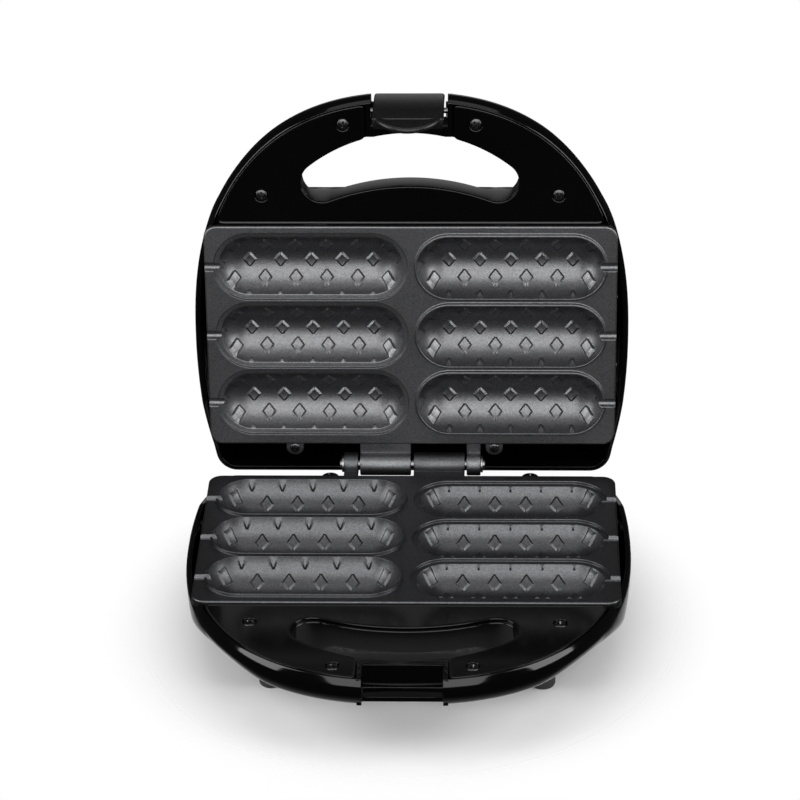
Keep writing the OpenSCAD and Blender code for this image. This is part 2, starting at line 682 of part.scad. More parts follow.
saddle_l = 7;
saddle_z = inlet_z - inlet_r;
saddle_head_r = 2.8;
saddle_screw_l = 9;
module cord_clamp() color(cover_colour) on_base() difference() {
    span([inlet_x - clamp_gap - clamp_post_r, clamp_y - saddle_l / 2, saddle_z],
        [inlet_x + clamp_gap + clamp_post_r, clamp_y + saddle_l / 2, saddle_z + saddle_t]);
    for (p = clamp_at) post(p.x, p.y, screw_r + fit_gap, saddle_z - over, saddle_z + saddle_t + over);
}
module cord_clamp_screws() color(screw_colour) on_base() for (p = clamp_at)
    translate([p.x, p.y, saddle_z + saddle_t]) screw(saddle_head_r, saddle_screw_l);
block_y = 20;
block_w = 30;
block_d = 14;
block_h = 13;
block_peg_r = 2;
block_peg_h = 3;
block_peg_x = 5;
block_pegs = [for (s = [-1, 1]) [inlet_x + s * block_peg_x, block_y]];
pole_pitch = 10;
block_poles = [for (i = [-1:1]) inlet_x + i * pole_pitch];
pole_r = 2;
pole_rise = 7;
pole_z = floor_z + pole_rise;
pole_head_r = 2.2;
module terminal_block() color(ceramic_colour) on_base() difference() {
    span([inlet_x - block_w / 2, block_y - block_d / 2, floor_z],
        [inlet_x + block_w / 2, block_y + block_d / 2, floor_z + block_h]);
    for (p = block_pegs)
        post(p.x, p.y, block_peg_r + fit_gap, floor_z - over, floor_z + block_peg_h + fit_gap);
    for (x = block_poles) {
        bar_y(x, pole_z, pole_r, block_y - block_d / 2 - over, block_y + block_d / 2 + over);
        post(x, block_y, screw_r + fit_gap, pole_z, floor_z + block_h + over);
    }
}
module terminal_screws() color(steel_colour) on_base() for (x = block_poles)
    translate([x, block_y, floor_z + block_h]) screw(pole_head_r, block_h - pole_rise);

// Lead swept through a list of points, mitred at each bend
lead_sides = 8;
// Any way that no lead starts along
lead_skew = [0.3, 0.5, 0.8];
function unit(v) = v / norm(v);
function lead_way(p, i) = unit(p[i + 1] - p[i]);
function lead_mitre(p, i) = i == 0 ? lead_way(p, 0) : i == len(p) - 1 ? lead_way(p, i - 1) :
    unit(lead_way(p, i - 1) + lead_way(p, i));
// Ring of points on the mitre plane, carried along the way from the ring before it
function lead_slide(q, way, c, n) = q + way * ((c - q) * n) / (way * n);
function lead_rings(p, i, ring) = i == len(p) ? [] :
    let (now = i == 0 ? ring :
        [for (q = ring) lead_slide(q, lead_way(p, i - 1), p[i], lead_mitre(p, i))])
    concat([now], lead_rings(p, i + 1, now));
module lead(p, r) {
    way = lead_way(p, 0);
    u = unit(cross(way, lead_skew));
    v = cross(way, u);
    start = [for (s = [0:lead_sides - 1]) let (t = s * 360 / lead_sides)
        p[0] + r * (u * cos(t) + v * sin(t))];
    rings = lead_rings(p, 0, start);
    last = len(p) - 1;
    n = lead_sides;
    points = [for (ring = rings) each ring];
    sides = [for (k = [0:last - 1]) for (j = [0:n - 1]) let (i = (j + 1) % n, a = k * n, b = a + n)
        each [[a + j, b + j, b + i], [a + j, b + i, a + i]]];
    polyhedron(points, concat([[for (j = [0:n - 1]) j]], sides, [[for (j = [n - 1:-1:0]) last * n + j]]));
}
lead_r = 1.2;
lead_lift = 3;
lead_z = floor_z + lead_lift;
lead_tail = 4;
lead_fall = 14;
lead_run_in = 6;
turn_x = -heater_end_x - cold_pin_l - lead_tail;
// Where a lead passes down beside the shield
edge_x = -plate_w / 2 + shield_margin_x / 2;
edge_z = shield_top - shield_lip - lead_tail;
down_x = turn_x + lead_fall;
pin_tip = -heater_end_x - cold_pin_l - fit_gap;
pin_ends = [for (s = [-1, 1]) pocket_shift + s * heater_y];
pole_y = block_y - block_d / 2 - fit_gap;
// Rows of the base where the two leads cross the floor
base_lead_rows = [-36, -8];
module base_wiring() color(wire_colour) on_base() for (i = [0, 1]) lead([
    [pin_tip, pin_ends[i], heater_z], [turn_x, pin_ends[i], heater_z], [edge_x, pin_ends[i], edge_z],
    [down_x, base_lead_rows[i], lead_z], [block_poles[i], base_lead_rows[i], lead_z],
    [block_poles[i], pole_y - lead_run_in, pole_z], [block_poles[i], pole_y, pole_z]
], lead_r);
fuse_r = 2.2;
fuse_l = 14;
fuse_y = 28;
fuse_lead_r = 0.6;
fuse_lead_l = 8;
module thermal_fuse() color(steel_colour) on_base()
    translate([0, fuse_y, shield_top - shield_t - fuse_r - fit_gap]) {
        bar_x(0, 0, fuse_r, -fuse_l / 2, fuse_l / 2);
        bar_x(0, 0, fuse_lead_r, -fuse_l / 2 - fuse_lead_l, fuse_l / 2 + fuse_lead_l);
    }

// Hinge pin with a clip at each end
clip_t = 1.2;
clip_w = 2;
pin_end = 2.4;
pin_groove_r = 0.7 * pin_r;
pin_x = lug_x1 + fit_gap;
module hinge_pin() color(steel_colour) on_base() difference() {
    bar_x(hinge_y, axis_z, pin_r, -pin_x - pin_end, pin_x + pin_end);
    for (s = [-1, 1]) clip_ring(s, pin_r + clip_w, pin_groove_r);
}
module clip_ring(s, outer, inner) difference() {
    x0 = s > 0 ? pin_x : -pin_x - clip_t;
    bar_x(hinge_y, axis_z, outer, x0, x0 + clip_t);
    bar_x(hinge_y, axis_z, inner, x0 - over, x0 + clip_t + over);
}
module hinge_pin_clips() color(steel_colour) on_base() for (s = [-1, 1])
    clip_ring(s, pin_r + clip_w, pin_groove_r + fit_gap);

// Lamps, thermostat and wiring of the lid
lamp_x = 12;
lamp_y = -46;
lamp_r = 4;
lamp_dome = 1.4;
lamp_flange = 1.6;
lamp_flange_t = 1.2;
holder_z = floor_z + lamp_flange_t;
module lid_shell() color(shell_colour) on_lid() difference() {
    shell_body(false);
    for (s = [-1, 1]) post(s * lamp_x, lamp_y, lamp_r + fit_gap, -body_depth - over, floor_z + over);
    bar_x(latch_pin_y, latch_pin_z, latch_pin_r + fit_gap,
        -notch_x - notch_wall - over, notch_x + notch_wall + over);
}
// Half section of a lens: a dome in arcs, a barrel and a flange inside the housing
dome_steps = 4;
LENS = concat(
    [for (i = [0:dome_steps]) let (t = 90 * i / dome_steps)
        [lamp_r * sin(t), -body_depth - lamp_dome * cos(t)]],
    [[lamp_r, floor_z], [lamp_r + lamp_flange, floor_z], [lamp_r + lamp_flange, holder_z], [0, holder_z]]
);
module lens(s, shade) color(shade) on_lid() translate([s * lamp_x, lamp_y, 0]) rotate_extrude() polygon(LENS);
holder_w = 40;
holder_d = 14;
holder_h = 9;
bulb_r = 2.6;
holder_roof = 2;
module lamp_holder() color(cover_colour) on_lid() difference() {
    span([-holder_w / 2, lamp_y - holder_d / 2, holder_z],
        [holder_w / 2, lamp_y + holder_d / 2, holder_z + holder_h]);
    for (s = [-1, 1]) post(s * lamp_x, lamp_y, bulb_r, holder_z - over, holder_z + holder_h - holder_roof);
}
stat_x = 46;
stat_y = 20;
stat_r = 9;
stat_h = 8;
stat_ear = 13;
stat_ear_r = 3;
stat_ear_w = 8;
stat_ear_t = 1.5;
blade_t = 0.8;
blade_w = 6;
blade_l = 7;
blade_y = 4;
stat_head_r = 2.6;
stat_tip_l = 1.5;
stat_z = shield_top - shield_t;
stat_holes = [for (s = [-1, 1]) [stat_x + s * stat_ear, stat_y]];
module thermostat() color(steel_colour) on_lid() difference() {
    union() {
        post(stat_x, stat_y, stat_r, stat_z - stat_h, stat_z);
        span([stat_x - stat_ear - stat_ear_r, stat_y - stat_ear_w / 2, stat_z - stat_ear_t],
            [stat_x + stat_ear + stat_ear_r, stat_y + stat_ear_w / 2, stat_z]);
        for (s = [-1, 1])
            span([stat_x - blade_t / 2, stat_y + s * blade_y - blade_w / 2, stat_z - stat_h - blade_l],
                [stat_x + blade_t / 2, stat_y + s * blade_y + blade_w / 2, stat_z - stat_h]);
    }
    for (p = stat_holes) post(p.x, p.y, screw_r + fit_gap, stat_z - stat_ear_t - over, stat_z + over);
}
module thermostat_screws() color(screw_colour) on_lid() for (p = stat_holes)
    translate([p.x, p.y, stat_z - stat_ear_t]) rotate([180, 0, 0])
        screw(stat_head_r, stat_ear_t + shield_t + stat_tip_l);
blade_tip = stat_z - stat_h - blade_l - fit_gap;
holder_lead_x = -holder_w / 2 - fit_gap;
holder_lead_z = holder_z + holder_h / 2;
holder_bend_x = holder_lead_x - lead_fall;
// Rows of the lid where the two leads cross the floor
lid_lead_rows = [-30, 20];
module lid_wiring() color(wire_colour) on_lid() {
    lead([
        [pin_tip, pin_ends[0], heater_z], [turn_x, pin_ends[0], heater_z], [edge_x, pin_ends[0], edge_z],
        [down_x, lid_lead_rows[0], lead_z], [holder_bend_x, lid_lead_rows[0], lead_z],
        [holder_bend_x, lamp_y, holder_lead_z], [holder_lead_x, lamp_y, holder_lead_z]
    ], lead_r);
    lead([
        [pin_tip, pin_ends[1], heater_z], [turn_x, pin_ends[1], heater_z], [edge_x, pin_ends[1], edge_z],
        [down_x, lid_lead_rows[1], lead_z], [stat_x, stat_y + blade_y, lead_z],
        [stat_x, stat_y + blade_y, blade_tip]
    ], lead_r);
}

// Latch: bowed plate on a barrel, stop heel, hook and curved finger tab
latch_play = 0.05;
latch_half = notch_x - latch_side_gap;
latch_front = front_y + latch_setback;
latch_bite = 0.5;
latch_root = latch_front + latch_t - latch_bite;
latch_barrel_r = 3.6;
latch_top_gap = 1;
latch_top = -handle_depth + latch_top_gap;
barrel_web = 4;
hook_z = plate_gap + handle_depth + hook_gap;
hook_end = hook_z + hook_t;
bow_y = latch_front + latch_bow;
bow_end = latch_front + latch_bow / 2;
tab_r = (pow(latch_half, 2) + pow(tab_l, 2)) / (2 * tab_l);
heel_play = 0.4;
heel_w = 16;
heel_t = 2.5;
heel_drop = 0.5;
module latch() color(latch_colour) on_lid() difference() {
    union() {
        intersection() {
            difference() {
                bar_x(bow_y, axis_z, latch_bow, -latch_half, latch_half);
                bar_x(bow_y, axis_z, latch_bow - latch_t, -latch_half - over, latch_half + over);
            }
            union() {
                span([-latch_half, latch_front - over, latch_top], [latch_half, bow_end, hook_end]);
                intersection() {
                    bar_y(0, hook_end + tab_l - tab_r, tab_r, latch_front - over, bow_end);
                    span([-latch_half, latch_front - over, hook_end - over],
                        [latch_half, bow_end, hook_end + tab_l + over]);
                }
            }
        }
        span([-latch_half, latch_root, hook_z], [latch_half, lip_y + hook_bite, hook_end]);
        bar_x(latch_pin_y, latch_pin_z, latch_barrel_r, -latch_half, latch_half);
        span([-latch_half, latch_root, latch_pin_z - barrel_web / 2],
            [latch_half, latch_pin_y, latch_pin_z + barrel_web / 2]);
        span([-heel_w / 2, latch_root, -heel_drop - heel_t], [heel_w / 2, notch_y - heel_play, -heel_drop]);
    }
    bar_x(latch_pin_y, latch_pin_z, latch_pin_r + latch_play, -latch_half - over, latch_half + over);
}
latch_pin_short = 0.3;
latch_pin_x = notch_x + notch_wall - latch_pin_short;
module latch_pin() color(steel_colour) on_lid()
    bar_x(latch_pin_y, latch_pin_z, latch_pin_r, -latch_pin_x, latch_pin_x);

module base_handle_cover() on_base() handle_cover();
module base_cover_screws() on_base() cover_screws();
module lower_plate() color(plate_colour) on_base() grid_plate(pin_r + fit_gap);
module lower_plate_screws() on_base() plate_screws();
module lower_heater() on_base() heater();
module lower_insulators() on_base() insulators();
module lower_heater_clamp() on_base() heater_clamp();
module lower_clamp_screw() on_base() clamp_screw();
module lower_heat_shield() on_base() heat_shield([]);
module lid_handle_cover() on_lid() handle_cover();
module lid_cover_screws() on_lid() cover_screws();
module upper_plate() color(plate_colour) on_lid() grid_plate(pin_r + pin_play);
module upper_plate_screws() on_lid() plate_screws();
module upper_heater() on_lid() heater();
module upper_insulators() on_lid() insulators();
module upper_heater_clamp() on_lid() heater_clamp();
module upper_clamp_screw() on_lid() clamp_screw();
module upper_heat_shield() on_lid() heat_shield(stat_holes);
module power_lamp_lens() lens(1, [0.8, 0.1, 0.08]);
module ready_lamp_lens() lens(-1, [0.1, 0.6, 0.2]);

base_shell();
base_handle_cover();
base_cover_screws();
lower_plate();
lower_plate_screws();
lower_heater();
lower_insulators();
lower_heater_clamp();
lower_clamp_screw();
lower_heat_shield();
hinge_pin();
hinge_pin_clips();
feet();
foot_screws();
cord_gland();
cord_clamp();
cord_clamp_screws();
terminal_block();
terminal_screws();
thermal_fuse();
base_wiring();
lid_shell();
lid_handle_cover();
lid_cover_screws();
upper_plate();
upper_plate_screws();
upper_heater();
upper_insulators();
upper_heater_clamp();
upper_clamp_screw();
upper_heat_shield();
thermostat();
thermostat_screws();
power_lamp_lens();
ready_lamp_lens();
lamp_holder();
lid_wiring();
latch_pin();
latch();
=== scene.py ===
import json
import math

import bmesh
import bpy
import numpy as np
from mathutils import Matrix, Vector
from mathutils.geometry import delaunay_2d_cdt


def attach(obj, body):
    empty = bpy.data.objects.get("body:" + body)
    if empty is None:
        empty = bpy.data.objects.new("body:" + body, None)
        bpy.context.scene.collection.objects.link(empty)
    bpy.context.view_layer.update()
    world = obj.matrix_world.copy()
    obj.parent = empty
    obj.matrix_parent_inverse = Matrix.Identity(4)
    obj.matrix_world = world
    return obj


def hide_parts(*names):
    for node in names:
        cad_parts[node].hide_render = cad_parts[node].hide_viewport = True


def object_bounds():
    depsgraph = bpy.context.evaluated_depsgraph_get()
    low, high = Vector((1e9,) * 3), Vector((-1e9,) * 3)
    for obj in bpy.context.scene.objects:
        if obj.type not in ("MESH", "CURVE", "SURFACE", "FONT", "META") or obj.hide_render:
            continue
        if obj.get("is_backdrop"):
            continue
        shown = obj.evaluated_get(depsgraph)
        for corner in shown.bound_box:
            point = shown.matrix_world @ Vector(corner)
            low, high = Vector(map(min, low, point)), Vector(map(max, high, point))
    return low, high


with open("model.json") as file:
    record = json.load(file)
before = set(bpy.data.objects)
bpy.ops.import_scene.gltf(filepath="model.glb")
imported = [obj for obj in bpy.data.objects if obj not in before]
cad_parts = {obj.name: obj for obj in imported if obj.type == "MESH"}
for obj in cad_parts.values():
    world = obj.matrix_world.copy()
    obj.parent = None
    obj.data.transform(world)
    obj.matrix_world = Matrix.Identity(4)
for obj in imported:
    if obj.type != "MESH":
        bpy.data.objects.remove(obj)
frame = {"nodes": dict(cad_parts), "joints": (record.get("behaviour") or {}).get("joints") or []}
packed_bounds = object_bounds()

# Camera
# A long lens stands in front of the open maker, well above it and a hair off square.
MM = 0.001
VIEW_AIM = Vector((-3.52, 0, 132.84))
VIEW_DISTANCE = 1663.7
VIEW_ELEVATION = math.radians(29.32)
VIEW_TURN = math.radians(-2.09)
VIEW_ROLL = math.radians(-0.90)
VIEW_LENS = 147.12
VIEW_SENSOR = 36
VIEW_CLIP = (0.05, 30)

forward = Vector((0, math.cos(VIEW_ELEVATION), -math.sin(VIEW_ELEVATION)))
level = Vector((1, 0, 0))
upright = level.cross(forward)
right = level * math.cos(VIEW_ROLL) + upright * math.sin(VIEW_ROLL)
above = upright * math.cos(VIEW_ROLL) - level * math.sin(VIEW_ROLL)
turn = Matrix.Rotation(-VIEW_TURN, 3, "Z")
axes = Matrix((turn @ right, turn @ above, turn @ -forward)).transposed()
camera_data = bpy.data.cameras.new("camera")
camera_data.lens = VIEW_LENS
camera_data.sensor_width = VIEW_SENSOR
camera_data.clip_start, camera_data.clip_end = VIEW_CLIP
camera = bpy.data.objects.new("camera", camera_data)
camera.matrix_world = Matrix.Translation(turn @ (VIEW_AIM - forward * VIEW_DISTANCE) * MM) @ axes.to_4x4()
bpy.context.scene.collection.objects.link(camera)
bpy.context.scene.camera = camera
bpy.context.scene.view_settings.view_transform = "Standard"
camera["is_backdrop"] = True

# Floor and light
# A pale round sheet under the maker keeps its shadow and fades into the white background.
# Soft boxes stand to the left and right and hang overhead. A large one in front only shows in reflections.
FLOOR_RADIUS = 0.17
FLOOR_SIDES = 96
FLOOR_TONE = (0.80, 0.80, 0.80, 1)
FADE_START = 0.10
FADE_END = FLOOR_RADIUS * 0.97
AMBIENT = 0.25
# Reflections find a dark room with one pale patch straight behind the maker
PATCH_START = 0.95
ROOM_DARK = 0.03
PATCH_PALE = 0.45
SOFT_BOXES = {
    "left_box": ((-0.95, -0.35, 0.62), (0.60, 0.90), 11.0),
    "right_box": ((0.95, -0.35, 0.62), (0.60, 0.90), 11.0),
    "top_box": ((0.0, 0.05, 1.40), (1.20, 0.90), 4.0),
    "front_box": ((0.0, -1.60, 1.12), (2.00, 2.00), 46.0),
}
BOX_AIM = Vector((0, -0.02, 0.10))
REFLECTED_ONLY = "front_box"


def paint(name):
    """A new material, its node tree and its surface shader."""
    material = bpy.data.materials.new(name)
    material.use_nodes = True
    tree = material.node_tree
    return material, tree, tree.nodes["Principled BSDF"]


def wire(tree, source, output, target, socket):
    """Joins one node's output to another node's socket."""
    tree.links.new(source.outputs[output], target.inputs[socket])


def put(node, **values):
    """Sets the values of a node's sockets, with low lines for the blanks in their names."""
    for socket, value in values.items():
        node.inputs[socket.replace("_", " ")].default_value = value
    return node


def add(tree, kind, **values):
    """A new node with the values of its sockets."""
    return put(tree.nodes.new(kind), **values)


sheet_mesh = bpy.data.meshes.new("floor_sheet")
sheet = bmesh.new()
bmesh.ops.create_circle(sheet, cap_ends=True, segments=FLOOR_SIDES, radius=FLOOR_RADIUS)
sheet.to_mesh(sheet_mesh)
sheet.free()
floor_sheet = bpy.data.objects.new("floor_sheet", sheet_mesh)
bpy.context.scene.collection.objects.link(floor_sheet)
pale_sheet, tree, shader = paint("pale_sheet")
tree.nodes.remove(shader)
place = add(tree, "ShaderNodeNewGeometry")
reach = add(tree, "ShaderNodeVectorMath")
reach.operation = "LENGTH"
fade = add(tree, "ShaderNodeMapRange", From_Min=FADE_START, From_Max=FADE_END)
fade.interpolation_type = "SMOOTHSTEP"
paper = add(tree, "ShaderNodeBsdfDiffuse", Color=FLOOR_TONE)
clear = add(tree, "ShaderNodeBsdfTransparent")
blend = add(tree, "ShaderNodeMixShader")
wire(tree, place, "Position", reach, 0)
wire(tree, reach, "Value", fade, "Value")
wire(tree, fade, "Result", blend, 0)
wire(tree, paper, "BSDF", blend, 1)
wire(tree, clear, "BSDF", blend, 2)
wire(tree, blend, "Shader", tree.nodes["Material Output"], "Surface")
sheet_mesh.materials.append(pale_sheet)
floor_sheet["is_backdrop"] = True

studio = bpy.data.worlds.new("studio")
studio.use_nodes = True
bpy.context.scene.world = studio
tree = studio.node_tree
room = put(tree.nodes["Background"], Color=(1, 1, 1, 1))
ray = add(tree, "ShaderNodeLightPath")
heading = add(tree, "ShaderNodeTexCoord")
split = add(tree, "ShaderNodeSeparateXYZ")
behind = add(tree, "ShaderNodeMapRange", From_Min=PATCH_START, From_Max=1.0,
             To_Min=ROOM_DARK, To_Max=PATCH_PALE)
glossy = add(tree, "ShaderNodeMix", A=AMBIENT)
seen = add(tree, "ShaderNodeMath")
seen.operation = "MAXIMUM"
strength = add(tree, "ShaderNodeMix", B=1.0)
wire(tree, heading, "Generated", split, "Vector")
wire(tree, split, "Y", behind, "Value")
wire(tree, ray, "Is Glossy Ray", glossy, "Factor")
wire(tree, behind, "Result", glossy, "B")
wire(tree, ray, "Is Camera Ray", seen, 0)
wire(tree, ray, "Is Transmission Ray", seen, 1)
wire(tree, seen, "Value", strength, "Factor")
wire(tree, glossy, "Result", strength, "A")
wire(tree, strength, "Result", room, "Strength")

for name, (spot, size, power) in SOFT_BOXES.items():
    lamp = bpy.data.lights.new(name, "AREA")
    lamp.shape = "RECTANGLE"
    lamp.size, lamp.size_y = size
    lamp.energy = power
    box = bpy.data.objects.new(name, lamp)
    box.location = spot
    box.visible_diffuse = name != REFLECTED_ONLY
    box.rotation_euler = (BOX_AIM - Vector(spot)).to_track_quat("-Z", "Y").to_euler()
    bpy.context.scene.collection.objects.link(box)
    box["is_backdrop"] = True

# Grid plates
# Die-cast aluminium under a dark, flecked non-stick coat, six round-ended pockets in each, studded
# with low diamond knobs. Ridged pockets meet rebated ones on the other plate when the lid is shut.
# Cast in one with the hinge knuckles, two screw ears at the back and two tongues at the front.
lid_hinge = next(joint for joint in frame["joints"] if joint["name"] == "lid_hinge")
PLATE_GAP = 1.0
HINGE_Y = lid_hinge["pos_m"][1] / MM
HINGE_Z = PLATE_GAP / 2
LAND_Z = lid_hinge["pos_m"][2] / MM - HINGE_Z
OPEN_ANGLE = math.radians(lid_hinge["range_deg"][1])
STAND = {
    "base": Matrix.Scale(MM, 4) @ Matrix.Translation((0, 0, LAND_Z)),
    "lid": Matrix.Scale(MM, 4)
    @ Matrix.Translation((0, HINGE_Y, LAND_Z + HINGE_Z))
    @ Matrix.Rotation(-OPEN_ANGLE, 4, "X")
    @ Matrix.Translation((0, -HINGE_Y, HINGE_Z))
    @ Matrix.Rotation(math.pi, 4, "Y"),
}
PLATE_W = 218.0
PLATE_D = 125.4
PLATE_CORNER = 7.0
PLATE_EDGE = 0.9
FLANGE = 4.5
COLUMNS = (-52.9, 52.9)
ROWS = (-39.9, -0.9, 38.1)
POCKET_RUN = 64.7
POCKET_R = 17.82
POCKET_RISE = 5.8
UNDER_R = 20.4
KNOB_L = 8.0
KNOB_W = 9.6
KNOB_H = 1.0
KNOB_FLAT = 0.70
KNOB_PITCH = 16.4
KNOB_ROW = 9.3
FLOOR_ROWS = 15
FLOOR_STEP = 1.3
RIM_STEP = 0.7
UNDER_STEP = 3.2
KNOB_CLEAR = 0.09
RIDGE_TOP = 1.8
REBATE = -1.6
STICK_R = 2.2
# Ring round a pocket: radius from the pocket's middle line, and height
RIDGE_RING = [(17.34, 1.68), (17.5, 1.8), (18.12, 1.8), (18.36, 1.7), (18.46, 1.46), (18.54, 0.5),
              (18.62, 0.18), (18.82, 0.03), (19.05, 0.0), (19.25, 0.0)]
REBATE_RING = [(16.3, -1.66), (16.55, -1.6), (18.4, -1.6), (18.68, -1.56), (18.8, -1.4), (18.86, -0.5),
               (18.92, -0.2), (19.04, -0.04), (19.2, 0.0), (19.34, 0.0)]
KNUCKLE_R = 6.2
KNUCKLE_WIDE = (0.8, 28.2)
KNUCKLE_LUG = (-36.8, -29.3)
WEB = (-4.5, -0.5)
PIN_R = 2.5
PIN_PLAY = 0.1
BORE = (-1, 40)
EARS = (-44.2, 63.5)
EAR_Y = 65.5
EAR_R = 4.75
EAR_Z = (-5.5, -2.5)
TONGUE_X = 50.0
# Width, reach, top and thickness of a tongue
TONGUE = (12.0, 3.5, -3.9, 3.0)
# How far fittings run into the flange
BITE = 2.0
SHARP_ANGLE = math.radians(32)


def within(spots, edge):
    """Which flat spots lie inside a closed edge."""
    x, y = spots[:, :1], spots[:, 1:]
    x0, y0 = edge[:, 0], edge[:, 1]
    x1, y1 = np.roll(x0, -1), np.roll(y0, -1)
    rising = np.where(y1 == y0, 1, y1 - y0)
    crossed = ((y0 > y) != (y1 > y)) & (x < x0 + (y - y0) * (x1 - x0) / rising)
    return crossed.sum(1) % 2 == 1


def closed_edges(start, count):
    """The edges of a closed row of points, numbered from start."""
    return [(start + k, start + (k + 1) % count) for k in range(count)]


class Pattern:
    """The points and faces of a piece while it is being made."""

    def __init__(self):
        self.points = []
        self.faces = []

    def place(self, points):
        """Adds points and tells their numbers."""
        start = len(self.points)
        self.points.extend(map(tuple, np.asarray(points, float)))
        return list(range(start, len(self.points)))

    def bridge(self, inner, outer):
        """Faces between two closed rows of points, facing up when the first row is inside the second."""
        for i in range(len(inner)):
            j = (i + 1) % len(inner)
            self.faces.append((inner[i], outer[i], outer[j], inner[j]))

    def fill(self, loops, up=True, spare=()):
        """Faces inside the first closed row and outside the others, seen from above."""
        index = [i for loop in loops for i in loop] + list(spare)
        edges = []
        start = 0
        for loop in loops:
            edges += closed_edges(start, len(loop))
            start += len(loop)
        flat = [Vector(self.points[i][:2]) for i in index]
        found = delaunay_2d_cdt(flat, edges, [], 1, 1e-6)
        source = [index[ids[0]] for ids in found[3]]
        spots = np.array([np.mean([found[0][k] for k in face], axis=0) for face in found[2]])
        holes = np.zeros(len(spots), bool)
        for loop in loops[1:]:
            holes |= within(spots, np.array([self.points[i][:2] for i in loop]))
        for face, hole in zip(found[2], holes):
            if not hole:
                corners = [source[k] for k in face]
                self.faces.append(corners if up else corners[::-1])

    def skin(self, loops, inward=False):
        """Faces between each closed row and the next."""
        for low, high in zip(loops, loops[1:]):
            self.bridge(*((high, low) if inward else (low, high)))

    def close(self, loops):
        """A solid from closed rows, the first at its bottom and the last at its top."""
        self.skin(loops, inward=True)
        self.fill([loops[-1]])
        self.fill([loops[0]], up=False)

    def prism(self, top, low):
        """A solid between two like closed rows, the first one anticlockwise from outside."""
        self.bridge(top, low)
        self.faces += [top, low[::-1]]

    def turned(self, profile, sides, stand):
        """A turned body from (radius, height) pairs, from its bottom middle to its top middle."""
        angles = np.linspace(0, 2 * math.pi, sides, endpoint=False)
        rows = []
        for radius, height in profile:
            ring = [(0, 0, height)] if radius == 0 else [
                (radius * math.cos(a), radius * math.sin(a), height) for a in angles]
            rows.append(self.place([stand @ Vector(p) for p in ring]))
        for low, high in zip(rows, rows[1:]):
            for i in range(sides):
                j = (i + 1) % sides
                if len(low) == 1:
                    self.faces.append((low[0], high[j], high[i]))
                elif len(high) == 1:
                    self.faces.append((low[i], low[j], high[0]))
                else:
                    self.faces.append((low[i], low[j], high[j], high[i]))


def raw(name, pattern):
    """An object in millimetres, not yet stood in its half."""
    mesh = bpy.data.meshes.new(name)
    mesh.from_pydata(pattern.points, [], pattern.faces)
    mesh.update()
    piece = bpy.data.objects.new(name, mesh)
    bpy.context.scene.collection.objects.link(piece)
    return piece


def block(low, high, bevel):
    """A box with rounded edges, as a raw object."""
    mesh = bpy.data.meshes.new("block")
    shape = bmesh.new()
    bmesh.ops.create_cube(shape, size=1)
    low, high = Vector(low), Vector(high)
    for vert in shape.verts:
        vert.co = Vector(low[k] if vert.co[k] < 0 else high[k] for k in range(3))
    bmesh.ops.bevel(shape, geom=shape.edges[:], offset=bevel, segments=2, profile=0.5, affect="EDGES")
    shape.to_mesh(mesh)
    shape.free()
    piece = bpy.data.objects.new("block", mesh)
    bpy.context.scene.collection.objects.link(piece)
    return piece


def spun(profile, sides, stand):
    """A turned body as a raw object."""
    pattern = Pattern()
    pattern.turned(profile, sides, stand)
    return raw("spun", pattern)


def work(piece, tools, how):
    """Joins closed shapes to a piece or cuts them out of it."""
    for tool in tools:
        step = piece.modifiers.new("work", "BOOLEAN")
        step.operation = how
        step.solver = "MANIFOLD"
        step.object = tool
    result = bpy.data.meshes.new_from_object(piece.evaluated_get(bpy.context.evaluated_depsgraph_get()))
    piece.modifiers.clear()
    piece.data = result
    for tool in tools:
        bpy.data.objects.remove(tool)


def stand_piece(name, piece, half, material, node, body=None):
    """Stands a copy of a raw piece in its half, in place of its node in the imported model."""
    mesh = piece.data.copy()
    mesh.name = name
    mesh.transform(STAND[half])
    mesh.shade_smooth()
    mesh.set_sharp_from_angle(angle=SHARP_ANGLE)
    mesh.materials.clear()
    mesh.materials.append(material)
    stood = bpy.data.objects.new(name, mesh)
    bpy.context.scene.collection.objects.link(stood)
    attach(stood, body or half)
    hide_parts(node)


def along_x(x, y, z):
    """Stands a turned body along the x axis."""
    return Matrix.Translation((x, y, z)) @ Matrix.Rotation(math.pi / 2, 4, "Y")


def mirrored(profile, length):
    """One end of a turned profile followed by its mirror image at the other end."""
    return profile + [(radius, length - height) for radius, height in profile[::-1]]


def drill(radius, start, end, sides, stand):
    """A plain round cutter."""
    return spun([(0, start), (radius, start), (radius, end), (0, end)], sides, stand)


def trough(radius, top, step):
    """Points of a plain round-ended trough, column by column from tip to tip."""
    half = math.sqrt(radius**2 - (POCKET_RISE - top) ** 2)
    swing = np.linspace(0, math.pi / 2, math.ceil(half * math.pi / 2 / step) + 1)[1:]
    straight = np.linspace(-POCKET_RUN / 2, POCKET_RUN / 2, math.ceil(POCKET_RUN / step) + 1)
    ends = POCKET_RUN / 2 + half * np.sin(swing)
    xs = np.concatenate([-ends[::-1], straight, ends])
    past = np.clip(np.abs(xs) - POCKET_RUN / 2, 0, half)
    section = np.sqrt(radius**2 - past**2)
    reach = np.arccos(np.clip((POCKET_RISE - top) / section, -1, 1))
    rows = math.ceil(2 * radius * reach.max() / step) + 1
    angle = reach[:, None] * np.linspace(-1, 1, rows)[None, :]
    x = np.repeat(xs[:, None], rows, 1)
    y = section[:, None] * np.sin(angle)
    z = POCKET_RISE - section[:, None] * np.cos(angle)
    return np.stack([x, y, z], 2)


